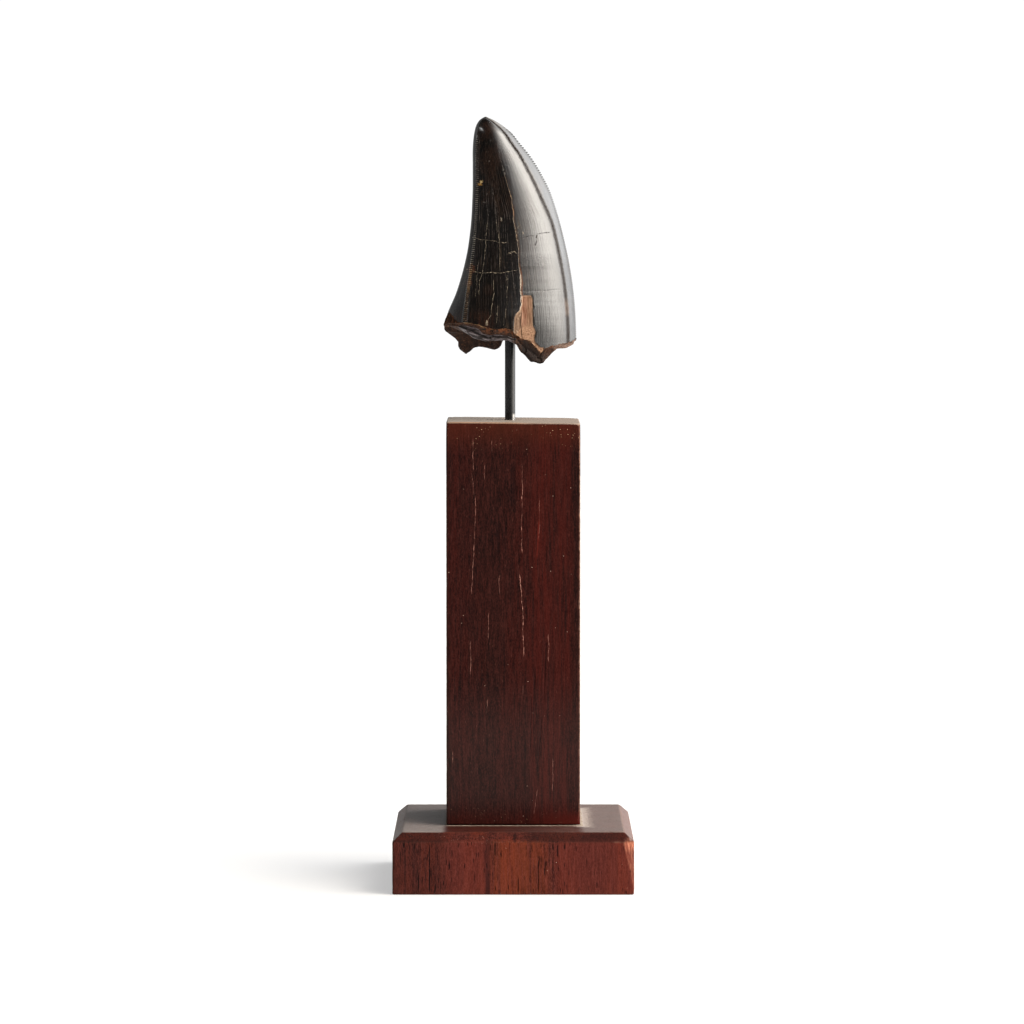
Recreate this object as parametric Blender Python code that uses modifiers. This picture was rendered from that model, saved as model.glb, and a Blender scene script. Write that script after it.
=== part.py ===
"""Fossil tyrannosaur tooth on its stand, free-standing, 219 mm high.

A broken tooth crown is pushed onto an upright steel rod. The rod stands in a hole in a square wooden column,
and the column is glued to a square plinth with a chamfered top. All sizes below are in millimetres, and MM
turns them into Blender's metres. +Z is up, the front faces -Y, and the origin is the centre of the plinth's
underside.
"""

import math

import bmesh
import bpy
import numpy as np
from mathutils import Vector

MM = 0.001
FIT_GAP = 0.3  # clearance between pieces that touch

# Plinth: a square board with a chamfer round its top, one front corner knocked off.
PLINTH_SIDE = 68.0
PLINTH_HEIGHT = 17.5
CHAMFER_INSET = 2.8
CHAMFER_DROP = 2.6
PLINTH_EDGE_ROUND = 0.3
CHIPPED_CORNER_TOP_WIDTH = 2.7
CHIPPED_CORNER_FOOT = 2.5

# Column: a square post with its edges just broken, set a little behind the plinth's middle.
COLUMN_SIDE = 38.0
COLUMN_TOP = 131.7
COLUMN_SET_BACK = 0.6
COLUMN_EDGE_ROUND = 0.35

# Rod: 3 mm bar, 12 mm deep in the column and about 11 mm deep in the tooth.
ROD_DIAMETER = 3.0
ROD_X = -0.9
ROD_IN_COLUMN = 12.0
ROD_SIDES = 32

# Tooth: the crown, its point up and curved to the left, with the broken end down.
TIP_X = -7.8
TIP_HEIGHT = 218.8
BREAK_HEIGHT = 155.0  # the level that the broken edge wanders about
CONCAVE_OUTLINE = [  # height, x of the left side
    (218.5, -8.6), (217.8, -9.6), (216.2, -10.6), (213.8, -11.2), (209.3, -11.6), (204.7, -11.6),
    (195.6, -11.7), (186.4, -12.3), (179.6, -13.3), (172.7, -15.0), (168.1, -16.5), (163.5, -18.3),
    (159.0, -19.7), (154.0, -20.4), (148.0, -20.8),
]
CONVEX_OUTLINE = [  # height, x of the right side
    (218.5, -7.1), (217.8, -5.5), (216.2, -3.0), (213.8, -0.1), (211.5, 1.8), (207.0, 5.4),
    (202.4, 8.2), (197.8, 10.5), (191.0, 12.8), (184.1, 14.6), (177.3, 16.1), (170.4, 17.2),
    (163.5, 17.9), (157.0, 18.2), (148.0, 18.1),
]
DISTAL_KEEL = [  # height, x of the serrated keel on the concave side
    (218.5, -8.3), (216.2, -9.6), (213.8, -10.0), (209.3, -10.2), (196.0, -10.3), (188.0, -10.7),
    (178.9, -11.6), (173.4, -12.3), (168.0, -13.3), (161.4, -14.1), (155.0, -14.6), (148.0, -15.0),
]
GROOVE_INSET = [  # height, distance of the groove inside the right side
    (218.5, 0.7), (216.2, 1.5), (213.8, 2.1), (209.3, 2.8), (203.0, 3.4), (196.0, 3.4), (189.0, 2.5),
    (178.0, 2.5), (166.0, 2.5), (148.0, 2.5),
]
THICKNESS_SHARE = (0.66, 0.80)  # front-to-back over left-to-right, at the break and at the tip
CROWN_LEAN_BACK = 1.5  # how far the tip lies behind the break's middle
MESIAL_KEEL_TURN = math.radians(9)  # the convex side's keel turns to the back towards the break
KEEL_HEIGHT = 0.55
KEEL_WIDTH = 0.8
GROOVE_DEPTH = 0.35
GROOVE_WIDTH = 0.55
DENTICLE_HEIGHT = 0.32
DENTICLES_PER_ROW = 3
DENTICLE_PITCH = 0.65
SERRATED_UP_TO = 213.5
TIP_ROWS = [214.9, 216.1, 217.1, 217.9, 218.5]
RELIEF_FADE = 6.0  # half width of the crown below which keels and groove shrink

# Broken end: the outer edge and the lip that the broken dentine comes down to, on the front and on the back.
FRONT_EDGE = [  # x, height
    (-20.5, 159.6), (-16.4, 160.1), (-12.8, 160.1), (-10.6, 159.8), (-8.8, 159.0), (-6.6, 158.5),
    (-0.7, 158.4), (0.1, 157.5), (2.1, 155.7), (4.5, 155.1), (6.4, 153.2), (8.2, 151.6), (9.0, 152.7),
    (10.7, 153.5), (13.3, 154.0), (15.6, 154.3), (18.5, 155.3),
]
FRONT_LIP = [
    (-20.5, 159.0), (-16.4, 159.0), (-13.9, 157.5), (-11.3, 155.7), (-8.1, 154.9), (-1.5, 155.1),
    (1.0, 153.6), (2.7, 151.1), (5.1, 149.0), (7.5, 148.3), (9.0, 148.8), (11.0, 150.5),
    (12.7, 152.6), (15.4, 152.6), (18.5, 154.6),
]
BACK_EDGE = [  # a longer piece of the wall hangs at the left of the back
    (-20.5, 159.6), (-19.0, 158.0), (-16.4, 155.9), (-15.0, 153.7), (-13.3, 152.6), (-11.8, 153.2),
    (-10.6, 154.2), (-8.8, 153.8), (-5.8, 153.1), (-3.6, 154.2), (-2.6, 157.0), (5.0, 157.6),
    (12.0, 156.4), (18.5, 155.3),
]
BACK_LIP = [
    (-20.5, 159.0), (-19.0, 157.2), (-16.4, 154.9), (-15.0, 152.4), (-13.3, 151.3), (-12.0, 151.8),
    (-10.6, 153.2), (-8.8, 152.9), (-5.8, 152.0), (-3.6, 152.9), (-2.6, 156.0), (5.0, 156.6),
    (12.0, 155.6), (18.5, 154.6),
]
FRACTURE_RINGS = [  # distance in from the edge, share of the way down to the lip
    (0.4, 0.3), (1.2, 0.75), (2.1, 1.0), (3.3, 0.7),
]
FRACTURE_ROUGHNESS = 0.2
EDGE_REACH = 14.0  # height over which the rows even out above the uneven edge
CAVITY_RINGS = [(0.62, 158.6), (0.30, 160.2)]  # share of the way out from the rod hole, height
ROD_HOLE_MOUTH = 160.6
ROD_HOLE_END = 166.0

# Missing enamel: a shallow patch at the foot of the front, open to the broken edge.
PATCH_OUTLINE = [
    (2.5, 167.7), (5.3, 167.8), (5.8, 166.5), (5.8, 159.3), (6.7, 157.4), (6.3, 155.5), (7.8, 152.8),
    (9.4, 150.5), (9.4, 146.0), (1.8, 146.0), (2.2, 156.0), (2.3, 160.5),
]
PATCH_MIDDLE = (4.4, 160.0)
PATCH_DEPTH = 0.45
PATCH_CUTTER_REACH = 6.0


def clear_scene():
    for thing in list(bpy.data.objects):
        bpy.data.objects.remove(thing, do_unlink=True)


def new_collection(name):
    collection = bpy.data.collections.new(name)
    bpy.context.scene.collection.children.link(collection)
    return collection


def plain_material(name, colour, roughness, metallic=0.0):
    material = bpy.data.materials.new(name)
    material.use_nodes = True
    shader = material.node_tree.nodes["Principled BSDF"]
    shader.inputs["Base Color"].default_value = (*colour, 1.0)
    shader.inputs["Roughness"].default_value = roughness
    shader.inputs["Metallic"].default_value = metallic
    return material


def object_from(shape, name, collection, material=None):
    """Turns a bmesh in millimetres into a named object in metres."""
    bmesh.ops.scale(shape, vec=(MM, MM, MM), verts=shape.verts)
    bmesh.ops.recalc_face_normals(shape, faces=shape.faces)
    mesh = bpy.data.meshes.new(name)
    shape.to_mesh(mesh)
    shape.free()
    made = bpy.data.objects.new(name, mesh)
    collection.objects.link(made)
    if material:
        mesh.materials.append(material)
    return made


def cut_away(target, cutter):
    cutter.hide_render = True
    cutter.display_type = "WIRE"
    cut = target.modifiers.new("cut " + cutter.name, "BOOLEAN")
    cut.operation = "DIFFERENCE"
    cut.solver = "EXACT"
    cut.object = cutter


def round_edges(target, width):
    bevel = target.modifiers.new("broken edges", "BEVEL")
    bevel.width = width * MM
    bevel.segments = 2
    bevel.limit_method = "ANGLE"
    bevel.angle_limit = math.radians(30)


def shade(target):
    target.data.shade_smooth()
    target.data.set_sharp_from_angle(angle=math.radians(35))


# Plinth --------------------------------------------------------------------------------------------------


def make_plinth(parts, wood):
    """A square box whose top face is drawn in and down for the chamfer, less a slanting slice of one corner."""
    shape = bmesh.new()
    bmesh.ops.create_cube(shape, size=1.0)
    bmesh.ops.scale(shape, vec=(PLINTH_SIDE, PLINTH_SIDE, PLINTH_HEIGHT), verts=shape.verts)
    bmesh.ops.translate(shape, vec=(0, 0, PLINTH_HEIGHT / 2), verts=shape.verts)
    shape.faces.ensure_lookup_table()
    top = max(shape.faces, key=lambda face: face.calc_center_median().z)
    bmesh.ops.inset_region(shape, faces=[top], thickness=CHAMFER_INSET, depth=0.0)
    half = PLINTH_SIDE / 2
    for vertex in shape.verts:
        on_rim = max(abs(vertex.co.x), abs(vertex.co.y)) > half - CHAMFER_INSET / 2
        if on_rim and vertex.co.z > PLINTH_HEIGHT / 2:
            vertex.co.z = PLINTH_HEIGHT - CHAMFER_DROP
    corner_foot = Vector((half, -half, CHIPPED_CORNER_FOOT))
    chamfer_foot = PLINTH_HEIGHT - CHAMFER_DROP
    on_front = Vector((half - CHIPPED_CORNER_TOP_WIDTH, -half, chamfer_foot))
    on_side = Vector((half, -half + 0.8 * CHIPPED_CORNER_TOP_WIDTH, chamfer_foot))
    outwards = (on_side - corner_foot).cross(on_front - corner_foot)
    if outwards.dot(Vector((1, -1, 0))) < 0:
        outwards.negate()
    sliced = bmesh.ops.bisect_plane(
        shape, geom=shape.verts[:] + shape.edges[:] + shape.faces[:], dist=1e-5,
        plane_co=corner_foot, plane_no=outwards, clear_outer=True,
    )
    rim = [piece for piece in sliced["geom_cut"] if isinstance(piece, bmesh.types.BMEdge)]
    bmesh.ops.holes_fill(shape, edges=rim, sides=0)
    plinth = object_from(shape, "plinth", parts, wood)
    round_edges(plinth, PLINTH_EDGE_ROUND)
    shade(plinth)
    return plinth


# Column --------------------------------------------------------------------------------------------------


def upright_cylinder(radius, foot, top, x, y, sides=ROD_SIDES):
    shape = bmesh.new()
    bmesh.ops.create_cone(
        shape, cap_ends=True, segments=sides, radius1=radius, radius2=radius, depth=top - foot
    )
    bmesh.ops.translate(shape, vec=(x, y, (foot + top) / 2), verts=shape.verts)
    return shape


def make_column(parts, cutters, wood):
    foot = PLINTH_HEIGHT + FIT_GAP
    height = COLUMN_TOP - foot
    shape = bmesh.new()
    bmesh.ops.create_cube(shape, size=1.0)
    bmesh.ops.scale(shape, vec=(COLUMN_SIDE, COLUMN_SIDE, height), verts=shape.verts)
    bmesh.ops.translate(shape, vec=(0, COLUMN_SET_BACK, foot + height / 2), verts=shape.verts)
    column = object_from(shape, "column", parts, wood)
    round_edges(column, COLUMN_EDGE_ROUND)
    drill = upright_cylinder(
        ROD_DIAMETER / 2 + FIT_GAP, COLUMN_TOP - ROD_IN_COLUMN - FIT_GAP, COLUMN_TOP + 5, ROD_X, COLUMN_SET_BACK
    )
    cut_away(column, object_from(drill, "rod hole drill", cutters))
    shade(column)
    return column


# Rod -----------------------------------------------------------------------------------------------------


def make_rod(parts, steel):
    shape = upright_cylinder(
        ROD_DIAMETER / 2, COLUMN_TOP - ROD_IN_COLUMN, ROD_HOLE_END - FIT_GAP, ROD_X, COLUMN_SET_BACK
    )
    rod = object_from(shape, "rod", parts, steel)
    shade(rod)
    return rod


# Tooth ---------------------------------------------------------------------------------------------------


def below_tip(height):
    """The square root of the distance under the tip: outlines drawn against it end in a round point."""
    return math.sqrt(max(TIP_HEIGHT - height, 0.0))


def smooth_curve(points):
    """A smooth function through (place, value) points, in cubic pieces."""
    places, values = np.array(sorted(points)).T
    slopes = np.gradient(values, places)

    def at(place):
        i = int(np.clip(np.searchsorted(places, place) - 1, 0, len(places) - 2))
        span = places[i + 1] - places[i]
        t = (place - places[i]) / span
        blend = t * t * (3 - 2 * t)
        leaving = t * (1 - t) ** 2 * span * slopes[i]
        arriving = t * t * (t - 1) * span * slopes[i + 1]
        return float(values[i] + blend * (values[i + 1] - values[i]) + leaving + arriving)

    return at


def crown_curve(points, at_tip):
    curve = smooth_curve([(below_tip(height), value) for height, value in points] + [(0.0, at_tip)])
    return lambda height: curve(below_tip(height))


left_side = crown_curve(CONCAVE_OUTLINE, TIP_X)
right_side = crown_curve(CONVEX_OUTLINE, TIP_X)
distal_keel_x = crown_curve(DISTAL_KEEL, TIP_X)
groove_inset = crown_curve(GROOVE_INSET, 0.0)

# Places round the crown: 0 at the distal keel, GROOVE at the groove, 1 at the mesial keel, and on to 2 along the back.
GROOVE = 0.82
BESIDE_KEEL = 0.016


def crown_section(height):
    """The oval at this height: its middle, half sizes, angles of distal keel, groove and mesial keel, and the
    share of their full height that the keels have there."""
    share = (TIP_HEIGHT - height) / (TIP_HEIGHT - BREAK_HEIGHT)
    left, right = left_side(height), right_side(height)
    size = min(1.0, (right - left) / 2 / RELIEF_FADE)
    right -= KEEL_HEIGHT * size
    half_width = max((right - left) / 2, 1e-3)
    half_depth = half_width * (THICKNESS_SHARE[1] + share * (THICKNESS_SHARE[0] - THICKNESS_SHARE[1]))
    middle_x = (left + right) / 2
    middle_y = COLUMN_SET_BACK + CROWN_LEAN_BACK * (1 - share) ** 2
    mesial = MESIAL_KEEL_TURN * min(max(share, 0.0), 1.0)

    def front_angle(x):
        return -math.acos(min(max((x - middle_x) / half_width, -1.0), 1.0))

    distal = front_angle(distal_keel_x(height))
    groove = front_angle(right + KEEL_HEIGHT * size - groove_inset(height))
    return (middle_x, middle_y), (half_width, half_depth), (distal, groove, mesial), size


def crown_point(around, height, notch=0.0):
    """Point of the crown's surface; notch lowers a keel between two denticles."""
    (middle_x, middle_y), (a, b), (distal, groove, mesial), size = crown_section(height)
    angle = float(np.interp(around, [0, GROOVE, 1, 2], [distal, groove, mesial, distal + math.tau]))
    x, y = a * math.cos(angle), b * math.sin(angle)
    outwards = Vector((math.cos(angle) / a, math.sin(angle) / b, 0)).normalized()
    around_scale = math.hypot(a * math.sin(angle), b * math.cos(angle))
    to_keels = min(abs(angle - distal), abs(angle - distal - math.tau), abs(angle - mesial)) * around_scale
    to_groove = abs(angle - groove) * around_scale
    relief = (KEEL_HEIGHT - notch) * math.exp(-to_keels / KEEL_WIDTH)
    relief -= GROOVE_DEPTH * math.exp(-((to_groove / GROOVE_WIDTH) ** 2))
    return Vector((middle_x + x, middle_y + y, height)) + size * relief * outwards


def broken_height(around, front_outline, back_outline):
    """Height of the broken edge or lip at this place round the crown."""
    point = crown_point(around, BREAK_HEIGHT)
    outline = front_outline if point.y < COLUMN_SET_BACK else back_outline
    return float(np.interp(point.x, *np.array(outline).T))


def crown_columns():
    """Places round the crown, closer together beside the keels and the groove."""
    front = [0.0, BESIDE_KEEL, 0.04, 0.07, *np.linspace(0.11, 0.765, 19), 0.80, GROOVE, 0.84, 0.89, 0.945]
    back = [1.0, 1.0 + BESIDE_KEEL / 2, 1.03, *np.linspace(1.07, 1.93, 23), 1.97, 2.0 - BESIDE_KEEL / 2]
    return front + [1.0 - BESIDE_KEEL] + back


def crown_rows():
    """(rank, height) of the level rows, the keels' denticles between them having ranks in between."""
    spacing = DENTICLES_PER_ROW * DENTICLE_PITCH
    count = round((SERRATED_UP_TO - BREAK_HEIGHT) / spacing)
    level = list(np.linspace(BREAK_HEIGHT, SERRATED_UP_TO, count + 1)) + TIP_ROWS
    return level, count


def settled_height(height, edge):
    """Rows follow the uneven edge at the bottom and are level EDGE_REACH above it."""
    left_over = max(0.0, 1 - (height - BREAK_HEIGHT) / EDGE_REACH)
    return height + (edge - BREAK_HEIGHT) * left_over**1.5


def crown_column(shape, around):
    """The column's vertices from the edge to the top row, each with its rank."""
    level, serrated_rows = crown_rows()
    edge = broken_height(around, FRONT_EDGE, BACK_EDGE)
    ranks = list(range(len(level)))
    on_keel = around in (0.0, 1.0)
    by_keel = min(around, abs(around - 1), 2 - around) <= BESIDE_KEEL
    steps = 2 * DENTICLES_PER_ROW if by_keel else 1
    vertices = []
    for rank in ranks:
        for step in range(steps if rank < serrated_rows else 1):
            place = rank + step / steps
            height = settled_height(float(np.interp(place, ranks, level)), edge)
            in_notch = on_keel and rank < serrated_rows and step % 2 == 0
            point = crown_point(around, height, DENTICLE_HEIGHT if in_notch else 0.0)
            vertices.append((place, shape.verts.new(point)))
    return vertices


def stitch(shape, one, other):
    """Triangles between two columns of vertices, always taking the next lowest vertex."""
    i = j = 0
    while i < len(one) - 1 or j < len(other) - 1:
        step_one = j == len(other) - 1 or (i < len(one) - 1 and one[i + 1][0] <= other[j + 1][0])
        corner = one[i + 1] if step_one else other[j + 1]
        shape.faces.new((one[i][1], other[j][1], corner[1]))
        i, j = (i + 1, j) if step_one else (i, j + 1)


def roughness(around, ring):
    """Uneven break, the same on each build."""
    turn = around * math.pi
    return FRACTURE_ROUGHNESS * (
        math.sin(17 * turn + 2.1 * ring) + math.sin(29 * turn + 0.7 + 4.3 * ring) + math.sin(11 * turn + ring)
    )


def break_rings(shape, places, edge):
    """Rings of vertices from the edge across the broken dentine and the pulp cavity to the end of the rod hole."""
    axis = Vector((ROD_X, COLUMN_SET_BACK, 0))
    hole_radius = ROD_DIAMETER / 2 + FIT_GAP
    rings = [edge]
    spokes = []
    for place, vertex in zip(places, edge):
        outwards = vertex.co - axis
        reach = math.hypot(outwards.x, outwards.y)
        lip = broken_height(place, FRONT_LIP, BACK_LIP)
        spokes.append((place, Vector((outwards.x / reach, outwards.y / reach, 0)), reach, vertex.co.z, lip))
    for number, (inset, share) in enumerate(FRACTURE_RINGS):
        ring = []
        for place, way, reach, top, lip in spokes:
            height = top + share * (lip - top) + share * roughness(place, number)
            ring.append(shape.verts.new(axis + way * (reach - inset) + Vector((0, 0, height))))
        rings.append(ring)
    inside = FRACTURE_RINGS[-1][0]
    for share, height in CAVITY_RINGS + [(0.0, ROD_HOLE_MOUTH), (0.0, ROD_HOLE_END)]:
        ring = []
        for place, way, reach, top, lip in spokes:
            out = hole_radius + share * (reach - inside - hole_radius)
            ring.append(shape.verts.new(axis + way * out + Vector((0, 0, height))))
        rings.append(ring)
    return rings


def make_tooth(parts, cutters, fossil):
    shape = bmesh.new()
    places = crown_columns()
    columns = [crown_column(shape, place) for place in places]
    tip = shape.verts.new((TIP_X, COLUMN_SET_BACK + CROWN_LEAN_BACK, TIP_HEIGHT))
    rings = break_rings(shape, places, [column[0][1] for column in columns])
    for i in range(len(columns)):
        after = (i + 1) % len(columns)
        stitch(shape, columns[i], columns[after])
        shape.faces.new((columns[i][-1][1], columns[after][-1][1], tip))
        for outer, inner in zip(rings, rings[1:]):
            shape.faces.new((outer[after], outer[i], inner[i], inner[after]))
    shape.faces.new(reversed(rings[-1]))
    bmesh.ops.triangulate(shape, faces=[face for face in shape.faces if len(face.verts) > 3])
    tooth = object_from(shape, "tooth", parts, fossil)
    cut_away(tooth, make_patch_cutter(cutters))
    shade(tooth)
    return tooth


def front_surface(x, height):
    (middle_x, middle_y), (a, b) = crown_section(height)[:2]
    return Vector((x, middle_y - b * math.sqrt(1 - ((x - middle_x) / a) ** 2), height))


def make_patch_cutter(cutters):
    """A slab laid along the crown's front, as deep in it as the enamel is thick."""
    x, height = PATCH_MIDDLE
    middle = front_surface(x, height)
    across = front_surface(x + 1, height) - front_surface(x - 1, height)
    upwards = front_surface(x, height + 1) - front_surface(x, height - 1)
    outwards = across.cross(upwards).normalized()
    shape = bmesh.new()
    floor = []
    for px, pz in PATCH_OUTLINE:
        flat = middle + (px - x) / across.x * across + (pz - height) / upwards.z * upwards
        floor.append(shape.verts.new(flat - PATCH_DEPTH * outwards))
    face = shape.faces.new(floor)
    lifted = bmesh.ops.extrude_face_region(shape, geom=[face])
    corners = [piece for piece in lifted["geom"] if isinstance(piece, bmesh.types.BMVert)]
    bmesh.ops.translate(shape, vec=PATCH_CUTTER_REACH * outwards, verts=corners)
    return object_from(shape, "missing enamel", cutters)


# Whole object --------------------------------------------------------------------------------------------

clear_scene()
mounted_tooth = new_collection("fossil tyrannosaur tooth on stand")
helpers = new_collection("cutters")
helpers.hide_render = True
wood_stain = plain_material("stained wood", (0.10, 0.022, 0.016), 0.42)
black_steel = plain_material("black steel", (0.015, 0.015, 0.017), 0.25, 0.6)
fossil_enamel = plain_material("fossil enamel", (0.035, 0.026, 0.020), 0.18)
make_plinth(mounted_tooth, wood_stain)
make_column(mounted_tooth, helpers, wood_stain)
make_rod(mounted_tooth, black_steel)
make_tooth(mounted_tooth, helpers, fossil_enamel)
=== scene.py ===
# A fossil tyrannosaur tooth on its stand, dressed from the plinth up. Sizes are in millimetres and MM turns
# them into metres. The front faces -Y and the origin is the middle of the plinth's underside.

import functools
import math

import bpy
import numpy as np
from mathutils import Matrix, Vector, noise


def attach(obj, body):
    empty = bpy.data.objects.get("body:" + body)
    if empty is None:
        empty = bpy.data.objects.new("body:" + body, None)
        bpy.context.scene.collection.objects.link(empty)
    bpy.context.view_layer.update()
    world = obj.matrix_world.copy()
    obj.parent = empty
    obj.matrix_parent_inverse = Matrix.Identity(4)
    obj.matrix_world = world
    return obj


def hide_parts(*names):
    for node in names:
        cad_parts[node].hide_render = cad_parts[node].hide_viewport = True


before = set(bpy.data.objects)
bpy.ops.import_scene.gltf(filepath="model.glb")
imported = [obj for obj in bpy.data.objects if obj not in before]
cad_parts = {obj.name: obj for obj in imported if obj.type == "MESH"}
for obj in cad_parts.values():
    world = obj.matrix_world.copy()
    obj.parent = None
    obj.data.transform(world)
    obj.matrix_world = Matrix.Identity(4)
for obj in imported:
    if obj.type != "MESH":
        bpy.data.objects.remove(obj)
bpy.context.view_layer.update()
MM = 0.001

# Plinth ---------------------------------------------------------------------------------------------------
# A square block of reddish-brown hardwood with its grain upright, chamfered round the top, stained and waxed.
# Its edges are rubbed, paler down the right where painted highlight lies over the rubbing, and one front
# corner is knocked off. It stands loose and carries the column.

PLINTH_SIDE = 68.0
PLINTH_HEIGHT = 17.5
CHAMFER_INSET, CHAMFER_DROP = 2.8, 2.6
PLINTH_EDGE_ROUND, PROFILE_STEP = 0.45, 0.9
CORNER_FOOT = Vector((34.0, -34.0, 2.5))
CORNER_FRONT = Vector((31.3, -34.0, 14.9))
CORNER_SIDE = Vector((34.0, -31.84, 14.9))
POINTS_A_SIDE, POINTS_A_CORNER, CROWDING = 72, 6, 0.8


class Value:
    """What one socket of a finish gives. Sums on it add the Math or Vector Math nodes that work them out."""

    def __init__(self, finish, socket):
        self.finish, self.socket = finish, socket

    def work(self, operation, *values):
        many = any(
            isinstance(value, tuple) or (isinstance(value, Value) and value.socket.type in ("VECTOR", "RGBA"))
            for value in values
        )
        kind = "ShaderNodeVectorMath" if many else "ShaderNodeMath"
        return self.finish.node(kind, {"operation": operation}, dict(enumerate(values)))

    def __add__(self, other):
        return self.work("ADD", self, other)

    __radd__ = __add__

    def __sub__(self, other):
        return self.work("SUBTRACT", self, other)

    def __rsub__(self, other):
        return self.work("SUBTRACT", other, self)

    def __mul__(self, other):
        return self.work("MULTIPLY", self, other)

    __rmul__ = __mul__

    def __truediv__(self, other):
        return self.work("DIVIDE", self, other)

    def __abs__(self):
        return self.work("ABSOLUTE", self)

    def __pow__(self, other):
        return self.work("POWER", self, other)

    def __or__(self, other):
        """The larger of two masks."""
        return self.work("MAXIMUM", self, other)

    def fade(self, none, full):
        """0 where this is at none, 1 where it is at full, smooth between."""
        limits = {0: self, 1: none, 2: full, 3: 0.0, 4: 1.0}
        return self.finish.node("ShaderNodeMapRange", {"interpolation_type": "SMOOTHSTEP"}, limits)


class Nodes:
    """A node tree and one way of adding any node to it."""

    def __init__(self, tree):
        self.tree, self.stretches = tree, {}

    def node(self, kind, settings, inputs, output=0):
        """Adds a node, sets it up, fills its sockets with numbers or links, and gives one of its outputs."""
        made = self.tree.nodes.new(kind)
        for name, value in settings.items():
            if name == "curve":
                points = made.mapping.curves[0].points
                while len(points) < len(value):
                    points.new(0.5, 0.5)
                for point, spot in zip(points, value):
                    point.location, point.handle_type = spot, "VECTOR"
                made.mapping.update()
            else:
                setattr(made, name, value)
        for name, value in inputs.items():
            self.fill(made.inputs[name], value)
        return Value(self, made.outputs[output])

    def fill(self, socket, value):
        if isinstance(value, Value):
            self.tree.links.new(value.socket, socket)
        elif socket.type == "RGBA":
            socket.default_value = (*value[:3], 1.0)
        elif socket.type == "VECTOR" and not isinstance(value, tuple):
            socket.default_value = (value,) * 3
        else:
            socket.default_value = value

    def split(self, place):
        """The x, y and z of a place."""
        return [self.node("ShaderNodeSeparateXYZ", {}, {0: place}, axis) for axis in "XYZ"]

    def blend(self, mask, one, other):
        """The first colour where the mask is 0, the second where it is 1."""
        return self.node("ShaderNodeMix", {"data_type": "RGBA"}, {0: mask, 6: one, 7: other}, 2)

    def drawn_out(self, size, place):
        """The place and scale that give a pattern its size; equal proportions share one node."""
        place, size = place or self.place, size if isinstance(size, tuple) else (size, size, size)
        proportions = (1.0, round(size[0] / size[1], 4), round(size[0] / size[2], 4))
        key = (place.socket.node.name, proportions)
        if key not in self.stretches:
            self.stretches[key] = place if proportions == (1.0, 1.0, 1.0) else place * proportions
        return {"Vector": self.stretches[key], "Scale": 1 / size[0]}

    def clouds(self, size, detail=3.0, roughness=0.5, place=None):
        """Noise from 0 to 1 about 0.5; size is a cell in millimetres, in all or along x, y and z."""
        inputs = self.drawn_out(size, place) | {"Detail": detail, "Roughness": roughness}
        return self.node("ShaderNodeTexNoise", {}, inputs)

    def cells(self, size, place=None):
        """How far off the nearest of some scattered points is; they lie about size millimetres apart."""
        return self.node("ShaderNodeTexVoronoi", {}, self.drawn_out(size, place), "Distance")


class Finish(Nodes):
    """A material, with the place on the surface in millimetres."""

    def __init__(self, name, **constants):
        self.material = bpy.data.materials.new(name)
        self.material.use_nodes = True
        super().__init__(self.material.node_tree)
        self.shader = self.tree.nodes["Principled BSDF"]
        for socket, value in constants.items():
            self.shader.inputs[socket.replace("_", " ")].default_value = value
        self.place = self.node("ShaderNodeTexCoord", {}, {}, "Object") * (1 / MM, 1 / MM, 1 / MM)
        self.x, self.y, self.z = self.split(self.place)
        self.colour = None

    def tools(self):
        """What a finish is made with: x, y and z, noise, marks, and ways to mix and lay colours."""
        return self.x, self.y, self.z, self.clouds, self.mark, self.blend, self.lay

    def lay(self, mask, colour):
        """Lays a colour over the finish where the mask is 1."""
        self.colour = self.blend(mask, self.colour, colour)

    def mark(self, name):
        """A number that the mesh carries at each of its points."""
        return self.node("ShaderNodeAttribute", {"attribute_name": name}, {}, "Fac")

    def relief(self, height):
        """A Normal from a height in millimetres."""
        return self.node("ShaderNodeBump", {}, {"Distance": MM, "Height": height}, "Normal")

    def done(self, matte=None, **surface):
        """Links the surface's sockets; where matte is 1 the surface has lost its gloss."""
        for socket, value in {"Base_Color": self.colour, **surface}.items():
            self.fill(self.shader.inputs[socket.replace("_", " ")], value)
        if matte:
            dull = self.tree.nodes.new("ShaderNodeBsdfPrincipled")
            dull.inputs["IOR"].default_value, dull.inputs["Roughness"].default_value = 1.13, 0.75
            for socket in ("Base Color", "Normal"):
                self.tree.links.new(self.shader.inputs[socket].links[0].from_socket, dull.inputs[socket])
            mixed = self.tree.nodes.new("ShaderNodeMixShader")
            self.fill(mixed.inputs[0], matte)
            self.tree.links.new(self.shader.outputs[0], mixed.inputs[1])
            self.tree.links.new(dull.outputs[0], mixed.inputs[2])
            self.tree.links.new(mixed.outputs[0], self.tree.nodes["Material Output"].inputs["Surface"])
        return self.material


def tint(red, green, blue):
    """A colour from its 0 to 255 display values."""
    parts = (red, green, blue)
    return tuple(((part / 255 + 0.055) / 1.055) ** 2.4 if part > 10 else part / 3295 for part in parts)


def strongest(masks):
    """The largest of several masks at each point."""
    return functools.reduce(lambda one, other: one | other, masks)


def scratch(finish, top_x, top_z, foot_x, foot_z, width, wander):
    """Mask of a thin upright line on a front face."""
    slope = (top_x - foot_x) / max(top_z - foot_z, 0.1)
    off = abs(finish.x + wander - (foot_x + slope * (finish.z - foot_z)))
    within = abs(finish.z - (top_z + foot_z) / 2) - (top_z - foot_z) / 2
    return off.fade(width, width * 0.35) * within.fade(0.4, -1.2)


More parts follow.
